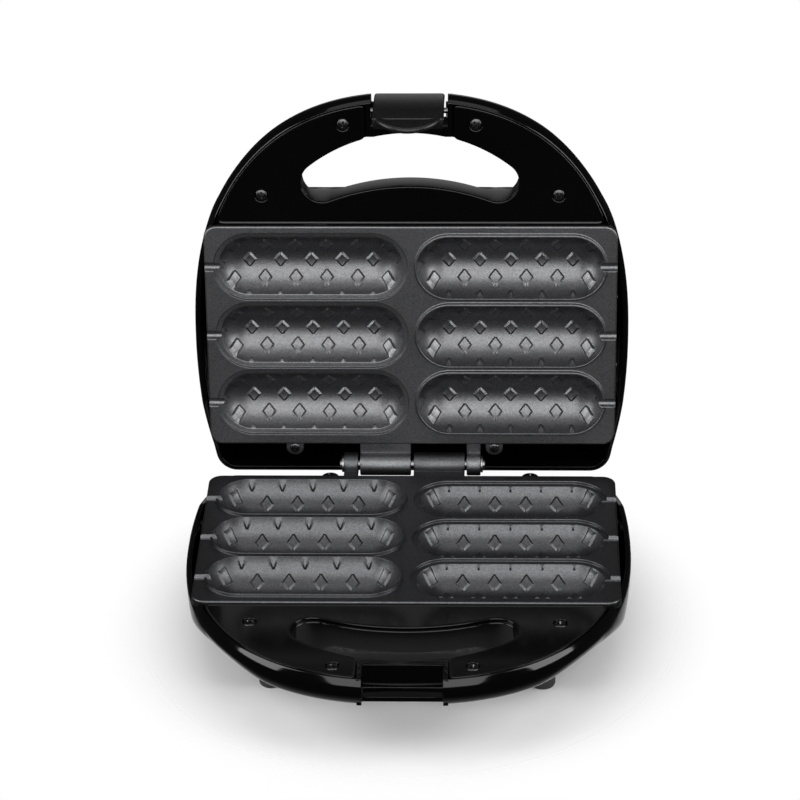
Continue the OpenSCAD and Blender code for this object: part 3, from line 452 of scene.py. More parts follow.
def trough_faces(pattern, grid):
    """Adds a trough's points and faces, seen from below, and tells the numbers of its rim."""
    columns, rows = grid.shape[:2]
    first = pattern.place(grid[0, :1])[0]
    middle = np.array(pattern.place(grid[1:-1].reshape(-1, 3))).reshape(columns - 2, rows)
    last = pattern.place(grid[-1, :1])[0]
    faces = []
    for t in range(rows - 1):
        faces.append((first, middle[0, t], middle[0, t + 1]))
        faces.append((middle[-1, t], last, middle[-1, t + 1]))
    a, b = middle[:-1, :-1].ravel(), middle[1:, :-1].ravel()
    c, d = middle[1:, 1:].ravel(), middle[:-1, 1:].ravel()
    faces += list(zip(a.tolist(), b.tolist(), c.tolist(), d.tolist()))
    pattern.faces += [face[::-1] for face in faces]
    return [first, *middle[:, 0].tolist(), last, *middle[::-1, -1].tolist()]


def stadium(radius, step):
    """A round-ended outline about a pocket's middle line, anticlockwise from above."""
    turn = np.linspace(-math.pi / 2, math.pi / 2, math.ceil(math.pi * radius / step) + 1)
    run = np.linspace(1, -1, math.ceil(POCKET_RUN / step) + 1)[1:-1] * POCKET_RUN / 2
    end = np.column_stack([POCKET_RUN / 2 + radius * np.cos(turn), radius * np.sin(turn)])
    side = np.column_stack([run, np.full(len(run), radius)])
    return np.concatenate([end, side, -end, -side])


def middle_line(flat):
    """The nearest places on a pocket's middle line."""
    return np.column_stack([np.clip(flat[:, 0], -POCKET_RUN / 2, POCKET_RUN / 2), flat[:, 1] * 0])


def slant(flat, hubs):
    """Each spot's place in its nearest knob: 0 in the middle and 1 on the outline."""
    off = np.abs(flat[:, None, :] - hubs[None, :, :])
    return (off[:, :, 0] * 2 / KNOB_L + off[:, :, 1] * 2 / KNOB_W).min(1)


def pocket(wall_top):
    """A studded pocket's points, its faces and its rim, anticlockwise from above."""
    reach = math.sqrt(POCKET_R**2 - (POCKET_RISE - wall_top) ** 2)
    rim = stadium(reach, RIM_STEP)
    hubs = np.array([(KNOB_PITCH * (i + j % 2 / 2), KNOB_ROW * j)
                     for j in range(-2, 3) for i in range(-4, 4)])
    hubs = hubs[np.linalg.norm(hubs - middle_line(hubs), axis=1) < reach + KNOB_W * 0.4]
    tips = np.array([(KNOB_L / 2, 0), (0, KNOB_W / 2), (-KNOB_L / 2, 0), (0, -KNOB_W / 2)])
    share = np.linspace(0, 1, 7)[:-1, None]
    diamond = np.concatenate([tips[k] * (1 - share) + tips[(k + 1) % 4] * share for k in range(4)])
    spots, edges = [], []
    for outline in [rim, *[hub + diamond * k for hub in hubs for k in (1, KNOB_FLAT)]]:
        start = len(spots)
        spots += outline.tolist()
        edges += closed_edges(start, len(outline))
    for k in range(FLOOR_ROWS):
        row = stadium(POCKET_R * math.sin(math.asin(reach / POCKET_R) * (k + 0.5) / FLOOR_ROWS), FLOOR_STEP)
        place = slant(row, hubs)
        spots += row[(place < KNOB_FLAT - KNOB_CLEAR) | (place > 1 + KNOB_CLEAR)].tolist()
    found = delaunay_2d_cdt([Vector(spot) for spot in spots], edges, [], 0, 1e-5)
    flat = np.array([tuple(spot) for spot in found[0]])
    middles = np.array([flat[list(face)].mean(0) for face in found[2]])
    faces = [tuple(face) for face, inside in zip(found[2], within(middles, rim)) if inside]
    used = sorted({k for face in faces for k in face})
    number = {k: n for n, k in enumerate(used)}
    faces = [tuple(number[k] for k in face) for face in faces]
    flat = flat[used]
    out = middle_line(flat) - flat
    drop = np.sqrt(POCKET_R**2 - (out**2).sum(1))
    lift = KNOB_H * np.clip((1 - slant(flat, hubs)) / (1 - KNOB_FLAT), 0, 1) / POCKET_R
    lift *= np.clip((reach - np.linalg.norm(out, axis=1)) / KNOB_H, 0, 1)
    points = np.column_stack([flat + out * lift[:, None], POCKET_RISE - drop * (1 - lift)])
    ways = {(face[k], face[(k + 1) % 3]) for face in faces for k in range(3)}
    onward = {a: b for a, b in ways if (b, a) not in ways}
    loop = [next(iter(sorted(onward)))]
    while onward[loop[-1]] != loop[0]:
        loop.append(onward[loop[-1]])
    return points, faces, loop, flat[loop]


def rounded_rectangle(inset, step=8):
    """The plate's edge, anticlockwise from above."""
    radius = PLATE_CORNER - inset
    x, y = PLATE_W / 2 - PLATE_CORNER, PLATE_D / 2 - PLATE_CORNER
    points = []
    for k, (sx, sy) in enumerate(((1, 1), (-1, 1), (-1, -1), (1, -1))):
        for a in np.linspace(k * math.pi / 2, (k + 1) * math.pi / 2, step + 1):
            points.append((sx * x + radius * math.cos(a), sy * y + radius * math.sin(a)))
    return np.array(points)


def ring_of(points, z):
    """Flat points at one height."""
    return np.column_stack([points, np.full(len(points), z)])


casting = Pattern()
edge_rows = [(PLATE_EDGE + 0.2, 0.0)]
for a in np.linspace(0, math.pi / 2, 5):
    edge_rows.append((PLATE_EDGE * (1 - math.sin(a)), PLATE_EDGE * (math.cos(a) - 1)))
edge_rows += [(0.0, -FLANGE + 0.5), (0.15, -FLANGE + 0.15), (0.5, -FLANGE)]
edge_loops = [casting.place(ring_of(rounded_rectangle(inset), z)) for inset, z in edge_rows]
casting.skin(edge_loops)
top_loops, under_loops = [edge_loops[0]], [edge_loops[-1]]
under_grid = trough(UNDER_R, -FLANGE, UNDER_STEP)
for column in COLUMNS:
    ridged = column < 0
    points, faces, loop, flat = pocket(RIDGE_TOP - 0.3 if ridged else REBATE - 0.12)
    middle = middle_line(flat)
    out = (flat - middle) / np.linalg.norm(flat - middle, axis=1)[:, None]
    for row in ROWS:
        start = casting.place(points + (column, row, 0))[0]
        casting.faces += [tuple(start + k for k in face) for face in faces]
        rim = [start + k for k in loop]
        for radius, z in RIDGE_RING if ridged else REBATE_RING:
            ring = casting.place(ring_of(middle + out * radius + (column, row), z))
            casting.bridge(rim, ring)
            rim = ring
        top_loops.append(rim)
        under_loops.append(trough_faces(casting, under_grid + (column, row, 0)))
casting.fill(top_loops)
casting.fill(under_loops, up=False)
plate = raw("plate", casting)

fittings = []
for x0, x1 in (KNUCKLE_WIDE, KNUCKLE_LUG):
    barrel = [(0, 0), (KNUCKLE_R - 0.6, 0), (KNUCKLE_R - 0.2, 0.15), (KNUCKLE_R, 0.6)]
    fittings.append(spun(mirrored(barrel, x1 - x0), 56, along_x(x0, HINGE_Y, HINGE_Z)))
    fittings.append(block((x0, PLATE_D / 2 - BITE, WEB[0]), (x1, HINGE_Y, WEB[1]), 0.45))
for x in EARS:
    ear = [(0, EAR_Z[0]), (EAR_R - 0.3, EAR_Z[0]), (EAR_R, EAR_Z[0] + 0.3), (EAR_R, EAR_Z[1] - 0.5),
           (EAR_R - 0.15, EAR_Z[1] - 0.15), (EAR_R - 0.5, EAR_Z[1]), (0, EAR_Z[1])]
    fittings.append(spun(ear, 40, Matrix.Translation((x, EAR_Y, 0))))
    fittings.append(block((x - EAR_R, PLATE_D / 2 - BITE, EAR_Z[0] + 1.1), (x + EAR_R, EAR_Y, EAR_Z[1]), 0.3))
for x in (-TONGUE_X, TONGUE_X):
    wide, reach, top, thick = TONGUE
    fittings.append(block((x - wide / 2, -PLATE_D / 2 - reach, top - thick),
                          (x + wide / 2, -PLATE_D / 2 + BITE, top), 0.3))
work(plate, fittings, "UNION")
grooves = []
for column in COLUMNS:
    side = math.copysign(1, column)
    for row in ROWS:
        groove = Pattern()
        profile = [(-STICK_R - 0.6, 3.0), (-STICK_R - 0.6, 0.05), (-STICK_R, -0.45)]
        bend = np.linspace(-math.pi + 0.35, -0.35, 14)
        profile += [(STICK_R * math.cos(a), STICK_R * math.sin(a)) for a in bend]
        profile += [(STICK_R, -0.45), (STICK_R + 0.6, 0.05), (STICK_R + 0.6, 3.0)]
        ends = sorted((side * (abs(column) + POCKET_RUN / 2 + 12), side * (PLATE_W / 2 + 3)), reverse=True)
        groove.prism(*[groove.place([(x, row + y, z) for y, z in profile]) for x in ends])
        grooves.append(raw("groove", groove))
for x0, _ in (KNUCKLE_WIDE, KNUCKLE_LUG):
    grooves.append(drill(PIN_R + PIN_PLAY, *BORE, 40, along_x(x0, HINGE_Y, HINGE_Z)))
work(plate, grooves, "DIFFERENCE")

# One coat in lit and shaded copies: the lower plate's tones are darkened as painted shade and the upper plate's
# are paled as painted light.
COAT_PAINTED_LIGHT_AND_SHADE = {
    "lower": ((0.052, 0.053, 0.056, 1), (0.098, 0.099, 0.103, 1)),
    "upper": ((0.082, 0.083, 0.087, 1), (0.154, 0.155, 0.160, 1)),
}


def mixed(tree, dark, pale):
    """A node that blends two tones."""
    tone = tree.nodes.new("ShaderNodeMix")
    tone.data_type = "RGBA"
    return put(tone, A=dark, B=pale)


def coat(half):
    """A dark baked coat with fine metal flecks, in lit and shaded copies of one coat: painted shade makes it
    darker on the lower half, which lies flat, and painted light makes it paler on the upper half.
    """
    coating, tree, shader = paint(half + "_flecked_coat_painted_light_and_shade")
    put(shader, Metallic=1.0)
    where = add(tree, "ShaderNodeTexCoord")
    fleck = add(tree, "ShaderNodeTexVoronoi", Scale=2600)
    tone = mixed(tree, *COAT_PAINTED_LIGHT_AND_SHADE[half])
    tone_share = add(tree, "ShaderNodeSeparateColor")
    haze = add(tree, "ShaderNodeTexNoise", Scale=38, Detail=3)
    sheen = add(tree, "ShaderNodeMapRange", To_Min=0.36, To_Max=0.42)
    soft_edge = add(tree, "ShaderNodeBevel", Radius=0.00022)
    grain = add(tree, "ShaderNodeBump", Strength=0.10, Distance=0.0002)
    wire(tree, where, "Object", fleck, "Vector")
    wire(tree, where, "Object", haze, "Vector")
    wire(tree, fleck, "Color", tone_share, "Color")
    wire(tree, tone_share, "Red", tone, "Factor")
    wire(tree, tone, "Result", shader, "Base Color")
    wire(tree, haze, "Fac", sheen, "Value")
    wire(tree, sheen, "Result", shader, "Roughness")
    wire(tree, soft_edge, "Normal", grain, "Normal")
    wire(tree, tone_share, "Green", grain, "Height")
    wire(tree, grain, "Normal", shader, "Normal")
    return coating


stand_piece("lower_grid_plate", plate, "base", coat("lower"), "lower_plate")
stand_piece("upper_grid_plate", plate, "lid", coat("upper"), "upper_plate")
bpy.data.objects.remove(plate)

# Housings
# Deep gloss-black moulded bowls that carry the plates, with a hollow handle at the front: a kidney-shaped
# grip hole, a notch for the latch, and a low rim that falls away towards the hinge.
HALF_W = 115.5
WIDE_Y = 2.0
FRONT_Y = -134.0
REAR_Y = 85.0
WALL = 3.0
SIDE_BOW = 345.0
CORNER = 12.0
CORNER_MIN = 4.0
FULLNESS = 2.4
BODY_DEPTH = 45.0
HANDLE_DEPTH = 17.0
SLOPE_Y = (-79.0, -67.5)
# Inset and share of the depth down the wall, from the rim to the flat bottom
SECTION = np.array([(0.8, 0), (0, 0.14), (0.6, 0.4), (2.2, 0.64), (5.5, 0.82), (10, 0.94), (15, 1)])
COVER_TOP = -1.1
COVER_Z = -3.6
COVER_END = -63.5
SIDE_RIM = -4.8
REAR_RIM = -12.5
RIM_FALL = (40.7, 69.7)
# Width and height of the shoulder outside the rim, on the handle and along the sides
HANDLE_SHOULDER = (2.75, 7.0)
SIDE_SHOULDER = (1.3, 2.0)
# The shoulder's curve, as shares of its width and height, from the wall up to the rim
SHOULDER = ((0.04, 0.8), (0.13, 0.61), (0.27, 0.44), (0.44, 0.31), (0.62, 0.185), (0.8, 0.072),
            (0.9, 0.02), (1, 0))
# Depths of the rim's inside edge and of the first row below it
RIM_INSIDE = (2.2, 2.3)
# Arcs of the grip hole: radius, then the place of the centre
GRIP_FRONT = (84.3, -29.7)
GRIP_END = (11.0, 46.0, -86.77)
GRIP_REAR = (115.9, 31.5)
GRIP_WALL = 2.2
NOTCH_X = 20.0
NOTCH_WALL = 2.5
NOTCH_Y = -117.6
NOTCH_FRONT = -130.5
LIP_Y = -126.0
LIP_Z = -14.5
LATCH_SLOT = 18.8
NOTCH_EDGE = 0.5
# How far cutters run past the faces they open
CUT_PAST = 9
# Place across, height, radius and outer face of the inlet's seat, then its length and its bore
INLET = (80.0, -28.0, 9.6, 85.2)
INLET_L = 9
INLET_BORE = 6.5
FEET = ((-69.5, -59.5), (69.5, -59.5), (-69.5, 60.0), (69.5, 60.0))
FOOT_R = 6.5
LAMP_X = 12.0
LAMP_Y = -46.0
LAMP_R = 4.0
LAMP_PLAY = 0.1
# Slope across the lower front corners: its turn from sideways, its lean from upright and its blend
CORNER_TURN = math.radians(36)
CORNER_LEAN = math.radians(41)
CORNER_BLEND = 3.0
# The stretch of the underside whose slopes are evened out
SOFT_Y = (-90.0, -22.0)
SOFT_ROWS = 16


def depth_at(y):
    """Depth of the housing below the plate's face, shallow under the handle."""
    t = np.clip((y - SLOPE_Y[0]) / (SLOPE_Y[1] - SLOPE_Y[0]), 0, 1)
    return HANDLE_DEPTH + (BODY_DEPTH - HANDLE_DEPTH) * t * t * (3 - 2 * t)


def rim_at(y):
    """Height of the rim."""
    fall = np.interp(y, RIM_FALL, (SIDE_RIM, REAR_RIM))
    return np.where(y < COVER_END, COVER_TOP, fall)


def front_points(t, e):
    """The rounded front of the outline, from the widest place at 90 degrees to the middle at 0."""
    p = 2 - 2 / FULLNESS
    length = WIDE_Y - FRONT_Y
    nx, ny = np.sin(t) ** p / HALF_W, np.cos(t) ** p / length
    size = np.hypot(nx, ny)
    x = HALF_W * np.sin(t) ** (2 / FULLNESS) - e * nx / size
    y = WIDE_Y - length * np.cos(t) ** (2 / FULLNESS) + e * ny / size
    return np.column_stack([x, y])


def run_of(steps):
    """Distances along a row of points, from the lengths of its steps."""
    return np.concatenate([[0], np.cumsum(steps)])


def front_stations(step):
    """Angles that space the front's points evenly, and close together where the rim steps."""
    t = np.linspace(math.pi / 2, 0, 4000)
    points = front_points(t, 0.0)
    way = run_of(np.linalg.norm(np.diff(points, axis=0), axis=1))
    even = np.interp(np.linspace(0, way[-1], math.ceil(way[-1] / step) + 1)[1:], way, t)
    rim_step = np.interp([COVER_END - 0.1, COVER_END + 0.1], points[::-1, 1], t[::-1])
    even = even[np.abs(np.interp(even, t[::-1], points[::-1, 1]) - COVER_END) > 0.5]
    return np.sort(np.concatenate([even, rim_step]))[::-1]


FRONT_T = front_stations(1.6)
REAR_SHARE = np.linspace(0, 1, 24)[:-1]
CORNER_SHARE = np.linspace(0, 1, 14)[:-1]
SIDE_SHARE = np.linspace(0, 1, 26)[:-1]


def half_outline(e):
    """The right-hand outline set in by e at each station, from the rear middle to the front middle."""
    a = len(REAR_SHARE)
    b = a + len(CORNER_SHARE)
    c = b + len(SIDE_SHARE)
    e = np.broadcast_to(np.asarray(e, float), (c + len(FRONT_T),))
    radius = np.maximum(CORNER - e, CORNER_MIN)
    centre_y = REAR_Y - e - radius
    tilt = np.arcsin((centre_y - WIDE_Y) / (SIDE_BOW - radius))
    centre_x = HALF_W - e - SIDE_BOW + (SIDE_BOW - radius) * np.cos(tilt)
    rear = np.column_stack([centre_x[:a] * REAR_SHARE, REAR_Y - e[:a]])
    t = math.pi / 2 + (tilt[a:b] - math.pi / 2) * CORNER_SHARE
    corner = np.column_stack([centre_x[a:b] + radius[a:b] * np.cos(t),
                              centre_y[a:b] + radius[a:b] * np.sin(t)])
    t = tilt[b:c] * (1 - SIDE_SHARE)
    side = np.column_stack([HALF_W - e[b:c] - SIDE_BOW * (1 - np.cos(t)), WIDE_Y + SIDE_BOW * np.sin(t)])
    return np.concatenate([rear, corner, side, front_points(FRONT_T, e[c:])])


def whole(points):
    """A right-hand row closed with its mirror image, anticlockwise from above."""
    left = points * ([-1, 1, 1] if points.shape[1] == 3 else [-1, 1])
    return np.concatenate([left, points[-2:0:-1]])


def smooth_section(count):
    """The wall's section as a smooth row of insets and depth shares."""
    ends = np.concatenate([[(1.6, -0.14)], SECTION, [(21, 1.0)]])
    rows = []
    for i in range(1, len(ends) - 2):
        p0, p1, p2, p3 = ends[i - 1 : i + 3]
        bend = 2 * p0 - 5 * p1 + 4 * p2 - p3
        twist = 3 * (p1 - p2) + p3 - p0
        for t in np.linspace(0, 1, count, endpoint=False):
            rows.append(p1 + 0.5 * t * (p2 - p0 + t * (bend + t * twist)))
    rows.append(SECTION[-1])
    rows = np.array(rows)
    rows[:, 1] = np.maximum.accumulate(np.minimum(rows[:, 1], 1))
    return rows


WALL_CURVE = smooth_section(12)
WALL_WAY = run_of(np.hypot(*(np.diff(WALL_CURVE, axis=0) * (1, BODY_DEPTH)).T))


def sloped(points, thick):
    """Points with the bowl's lower front corners moved in to their slope, less the wall's thickness."""
    way = np.array([math.cos(CORNER_TURN), -math.sin(CORNER_TURN), 0])
    face = way * math.cos(CORNER_LEAN) - (0, 0, math.sin(CORNER_LEAN))
    side = np.where(points[:, :1] < 0, [[-1, 1, 1]], [[1, 1, 1]])
    spot = np.array([*FEET[1], -BODY_DEPTH]) + way * (FOOT_R + 0.4)
    past = (points * side - spot) @ face + thick
    eased_past = np.clip(past + CORNER_BLEND, 0, 2 * CORNER_BLEND) ** 2 / (4 * CORNER_BLEND)
    move = np.where(past > CORNER_BLEND, past, eased_past)
    return points - side * face * move[:, None]


def wall_row(share, rim_z, extra=0.0, thick=0.0):
    """One row round the wall, a share of the way from below the rim to the flat bottom."""
    flat = half_outline(0.0)
    depth = depth_at(flat[:, 1])
    start = np.interp(-rim_z / depth, WALL_CURVE[:, 1], WALL_WAY)
    way = start + (WALL_WAY[-1] - start) * share
    inset = np.interp(way, WALL_WAY, WALL_CURVE[:, 0]) * depth / BODY_DEPTH + extra
    points = half_outline(inset)
    drop = np.interp(way, WALL_WAY, WALL_CURVE[:, 1])
    return sloped(np.column_stack([points, -(depth_at(points[:, 1]) - thick) * drop]), thick), inset


def arc(centre, radius, start, end, count):
    """Points along an arc."""
    t = np.linspace(start, end, count)
    return np.column_stack([centre[0] + radius * np.cos(t), centre[1] + radius * np.sin(t)])


def grip_edge(grow, count=24):
    """The grip hole's edge, anticlockwise from the front middle."""
    end_r, end_x, end_y = GRIP_END
    front_r, front_y = GRIP_FRONT
    rear_r, rear_y = GRIP_REAR
    front_a = math.atan2(end_y - front_y, end_x)
    rear_a = math.atan2(rear_y - end_y, -end_x)
    front = arc((0, front_y), front_r + grow, -math.pi / 2, front_a, count)
    end = arc((end_x, end_y), end_r + grow, front_a, rear_a, count + 6)
    rear = arc((0, rear_y), rear_r - grow, rear_a - math.pi, -math.pi / 2, count)
    side = np.concatenate([front[:-1], end[:-1], rear])
    return np.concatenate([side, (side * (-1, 1))[-2:0:-1]])


outside_y = half_outline(0.0)[:, 1]
rim = rim_at(outside_y)
broad, tall = np.where((outside_y < COVER_END)[:, None], HANDLE_SHOULDER, SIDE_SHOULDER).T
housing = Pattern()
rows = [wall_row(1, rim - tall, 3.0)[0]]
for share in np.linspace(1, 0, 34):
    row, top_inset = wall_row(share, rim - tall)
    rows.append(row)
for inward, fall in SHOULDER:
    rows.append(np.column_stack([half_outline(top_inset + broad * inward), rim - tall * fall]))
for inward, drop in ((WALL - 0.1, 0.1), (WALL, 0.35), (WALL, RIM_INSIDE[0])):
    rows.append(np.column_stack([half_outline(top_inset + inward), rim - drop]))
for share in (0.25, 0.45, 0.62, 0.75, 0.86, 0.94, 1.0):
    row, _ = wall_row(share, rim - RIM_INSIDE[0], WALL, WALL)
    rows.append(np.column_stack([row[:, :2], np.minimum(row[:, 2], rim - RIM_INSIDE[1])]))
loops = [housing.place(whole(row)) for row in rows]
housing.skin(loops, inward=True)


def floor_spares(row, thick, keep_out, step):
    """Extra points in staggered rows that let a floor follow the slopes at the handle and the corners."""
    order = np.argsort(row[:, 1])
    fine_y = np.linspace(SOFT_Y[0], SOFT_Y[1], 3000)
    way = run_of(np.hypot(np.diff(fine_y), np.diff(depth_at(fine_y))))
    points = []
    for k, y in enumerate(np.interp(np.arange(0, way[-1], step), way, fine_y)):
        reach = np.interp(y, row[order][:, 1], row[order][:, 0]) - 1.6
        x = np.arange(-reach + k % 2 * step * 0.6, reach, step * 1.2)
        by_end = np.hypot(np.abs(x) - GRIP_END[1], y - GRIP_END[2]) < GRIP_END[0] + keep_out
        by_rear = (np.abs(x) < GRIP_END[1]) & (np.hypot(x, y - GRIP_REAR[1]) > GRIP_REAR[0] - keep_out)
        x = x[~(by_end | by_rear)]
        points.append(np.column_stack([x, np.full(len(x), y), np.full(len(x), thick - depth_at(y))]))
    return sloped(np.concatenate(points), thick)


def relaxed(pattern, soft, rounds):
    """Evens out chosen points of a piece by drawing each one towards the middle of its neighbours."""
    points = np.array(pattern.points)
    pairs = np.array([(corners[k], corners[k - 1]) for corners in pattern.faces for k in range(len(corners))])
    pairs = np.concatenate([pairs, pairs[:, ::-1]])
    pairs = pairs[np.isin(pairs[:, 0], soft)]
    count = np.bincount(pairs[:, 0], minlength=len(points))[soft][:, None]
    for _ in range(rounds):
        total = np.zeros_like(points)
        np.add.at(total, pairs[:, 0], points[pairs[:, 1]])
        points[soft] += 0.5 * (total[soft] / count - points[soft])
    pattern.points = [tuple(point) for point in points]


grip_rows = []
for grow, lift in ((2.6, 0.0), (1.3, 0.0), (0.85, 0.1), (0.4, 0.4), (0.1, 0.85), (0.0, 1.3)):
    edge = grip_edge(grow)
    grip_rows.append(np.column_stack([edge, -depth_at(edge[:, 1]) + lift]))
grip_rows.append(ring_of(grip_edge(0.0), COVER_Z - 0.35))
grip_rows.append(ring_of(grip_edge(0.3), COVER_Z - 0.05))
grip_rows.append(ring_of(grip_edge(GRIP_WALL), COVER_Z - 0.05))
edge = grip_edge(GRIP_WALL)
grip_rows.append(np.column_stack([edge, -depth_at(edge[:, 1]) + WALL]))
grip_loops = [housing.place(row) for row in grip_rows]
housing.skin(grip_loops)
outer_spare = housing.place(floor_spares(rows[0], 0.0, 4.0, 1.5))
inner_spare = housing.place(floor_spares(rows[-1], WALL, 3.6, 3.0))
housing.fill([loops[0], grip_loops[0]], up=False, spare=outer_spare)
housing.fill([loops[-1], grip_loops[-1]], up=True, spare=inner_spare)
near_floor = outer_spare + grip_loops[0] + [k for loop in loops[:SOFT_ROWS] for k in loop]
relaxed(housing, [k for k in near_floor if SOFT_Y[0] < housing.points[k][1] < SOFT_Y[1]], 14)


def notched(piece, lip):
    """Adds the block round the latch notch and cuts the notch out of it."""
    side = NOTCH_X + NOTCH_WALL
    rear = GRIP_FRONT[1] - GRIP_FRONT[0] + GRIP_WALL
    work(piece, [block((-side, NOTCH_FRONT, -HANDLE_DEPTH + 0.6), (side, rear, COVER_TOP), 0.3)], "UNION")
    grip = Pattern()
    grip.close([grip.place(ring_of(grip_edge(0.0), z)) for z in (-60, 5)])
    under = -HANDLE_DEPTH - CUT_PAST
    cuts = [raw("grip", grip)]
    cuts.append(block((-NOTCH_X, FRONT_Y - CUT_PAST, under), (NOTCH_X, LIP_Y, CUT_PAST), NOTCH_EDGE))
    cuts.append(block((-NOTCH_X, LIP_Y - 3, LIP_Z), (NOTCH_X, NOTCH_Y, CUT_PAST), NOTCH_EDGE))
    if not lip:
        cuts.append(block((-LATCH_SLOT, LIP_Y - 3, under), (LATCH_SLOT, NOTCH_Y, CUT_PAST), NOTCH_EDGE))
    work(piece, cuts, "DIFFERENCE")


def along_y(x, y, z):
    """Stands a turned body along the y axis."""
    return Matrix.Translation((x, y, z)) @ Matrix.Rotation(-math.pi / 2, 4, "X")


base_shell = raw("base_shell_raw", housing)
notched(base_shell, True)
lid_shell = raw("lid_shell_raw", housing)
notched(lid_shell, False)
x, z, radius, seat_y = INLET
seat = [(0, 0), (radius, 0), (radius, 8.5), (radius - 0.2, 8.85), (radius - 0.5, INLET_L), (0, INLET_L)]
seat_stand = along_y(x, seat_y - INLET_L, z)
work(base_shell, [spun(seat, 48, seat_stand)], "UNION")
work(base_shell, [drill(INLET_BORE, -8, 12, 48, seat_stand)], "DIFFERENCE")
lens_holes = [drill(LAMP_R + LAMP_PLAY, -BODY_DEPTH - 2, -38, 40, Matrix.Translation((x, LAMP_Y, 0)))
              for x in (-LAMP_X, LAMP_X)]
work(lid_shell, lens_holes, "DIFFERENCE")

GLOSS = ((0.0010, 0.0010, 0.0012, 1), (0.0022, 0.0022, 0.0025, 1))
PLASTIC_IOR = 1.36


def finish(name, tones, rough, scale, metallic=1.0, detail=5, bump=(0.12, 0.0002), soft=0.0, **surface):
    """A slightly uneven finish between two tones. Its edges look rounded where soft gives a radius."""
    material, tree, shader = paint(name)
    put(shader, Metallic=metallic, **surface)
    where = add(tree, "ShaderNodeTexCoord")
    cloud = add(tree, "ShaderNodeTexNoise", Scale=scale, Detail=detail)
    tone = mixed(tree, *tones)
    sheen = add(tree, "ShaderNodeMapRange", To_Min=rough[0], To_Max=rough[1])
    grain = add(tree, "ShaderNodeBump", Strength=bump[0], Distance=bump[1])
    wire(tree, where, "Object", cloud, "Vector")
    wire(tree, cloud, "Fac", tone, "Factor")
    wire(tree, tone, "Result", shader, "Base Color")
    wire(tree, cloud, "Fac", sheen, "Value")
    wire(tree, sheen, "Result", shader, "Roughness")
    if soft:
        wire(tree, add(tree, "ShaderNodeBevel", Radius=soft), "Normal", grain, "Normal")
    wire(tree, cloud, "Fac", grain, "Height")
    wire(tree, grain, "Normal", shader, "Normal")
    return material


gloss = finish("gloss_black", GLOSS, (0.07, 0.11), 24, 0.0, 4, (0.04, 0.0004), 0.0004, IOR=PLASTIC_IOR)
stand_piece("base_housing", base_shell, "base", gloss, "base_shell")
stand_piece("lid_housing", lid_shell, "lid", gloss, "lid_shell")
bpy.data.objects.remove(base_shell)
bpy.data.objects.remove(lid_shell)

# Handle covers
# Gloss-black plates that close the top of each handle, C-shaped round the grip hole, with a fine raised
# edge and four sunk holes for the screws that hold them to the housing.
COVER_INSET = 3.7
COVER_LIP = 0.3
COVER_STEP = 1.2
COVER_NOTCH = 22.9
COVER_CORNER = 3.0
SIDE_CORNER = 5.0
SCREW_HOLE_R = 3.45
SCREW_SINK = 1.5
COVER_SCREWS = ((-34.5, -118.6), (34.5, -118.6), (-77.8, -79.6), (77.8, -79.6))


def eased(points, k, radius, count=7):
    """A closed row of points with the corner at place k rounded."""
    points = np.roll(points, len(points) // 2 - k, 0)
    k = len(points) // 2
    corner = points[k]
    before, after = points[:k], points[k + 1 :]
    while len(before) > 1 and np.linalg.norm(before[-1] - corner) < radius:
        before = before[:-1]
    while len(after) > 1 and np.linalg.norm(after[0] - corner) < radius:
        after = after[1:]
    way_in = (before[-1] - corner) / np.linalg.norm(before[-1] - corner)
    way_out = (after[0] - corner) / np.linalg.norm(after[0] - corner)
    t = np.linspace(0, 1, count)[:, None]
    start, end = corner + way_in * radius, corner + way_out * radius
    return np.concatenate([before, start * (1 - t) ** 2 + 2 * corner * t * (1 - t) + end * t * t, after])


def set_in(points, amount):
    """A closed row of points moved inwards, to the left of its way round."""
    ahead = np.roll(points, -1, 0) - points
    ahead /= np.linalg.norm(ahead, axis=1)[:, None]
    behind = np.roll(ahead, 1, 0)
    normal = np.column_stack([-(ahead + behind)[:, 1], (ahead + behind)[:, 0]])
    normal /= np.linalg.norm(normal, axis=1)[:, None]
    square = np.maximum(np.sum(normal * np.column_stack([-ahead[:, 1], ahead[:, 0]]), axis=1), 0.5)
    return points + normal * (amount / square)[:, None]


front = front_points(np.linspace(math.pi / 2, 0, 700), COVER_INSET)
front = front[front[:, 1] < COVER_END]
start = np.array([np.interp(COVER_END, front[::-1, 1], front[::-1, 0]), COVER_END])
front = front[front[:, 0] > COVER_NOTCH]
stop = np.array([COVER_NOTCH, np.interp(COVER_NOTCH, front[::-1, 0], front[::-1, 1])])
spaced = [front[0]]
for point in front:
    if np.linalg.norm(point - spaced[-1]) > COVER_STEP:
        spaced.append(point)
front = np.array(spaced[1:])
grip = grip_edge(0.0)
grip_half = grip[: len(grip) // 2 + 1]
grip_half = grip_half[(grip_half[:, 0] > COVER_NOTCH) | (grip_half[:, 1] > GRIP_END[2])]
grip_y = GRIP_FRONT[1] - math.sqrt(GRIP_FRONT[0] ** 2 - COVER_NOTCH**2)
inner = np.concatenate([[(COVER_NOTCH, grip_y)], grip_half])
right_half = np.concatenate([[start], front, [stop]])
outline = np.concatenate([right_half[::-1], right_half * (-1, 1)])
hole = np.concatenate([inner * (-1, 1), inner[-2::-1]])
loop = np.concatenate([outline, hole])
for corner in (stop, start, start * (-1, 1), stop * (-1, 1), inner[0] * (-1, 1), inner[0]):
    k = int(np.argmin(np.linalg.norm(loop - corner, axis=1)))
    loop = eased(loop, k, COVER_CORNER if corner[1] < COVER_END - 1 else SIDE_CORNER)
near_grip = np.min(np.linalg.norm(loop[:, None, :] - hole[None, :, :], axis=2), axis=1) < 3.2
lip = COVER_LIP * (1 - near_grip)
for _ in range(6):
    lip = (np.roll(lip, 1) + lip + np.roll(lip, -1)) / 3
cover_pattern = Pattern()
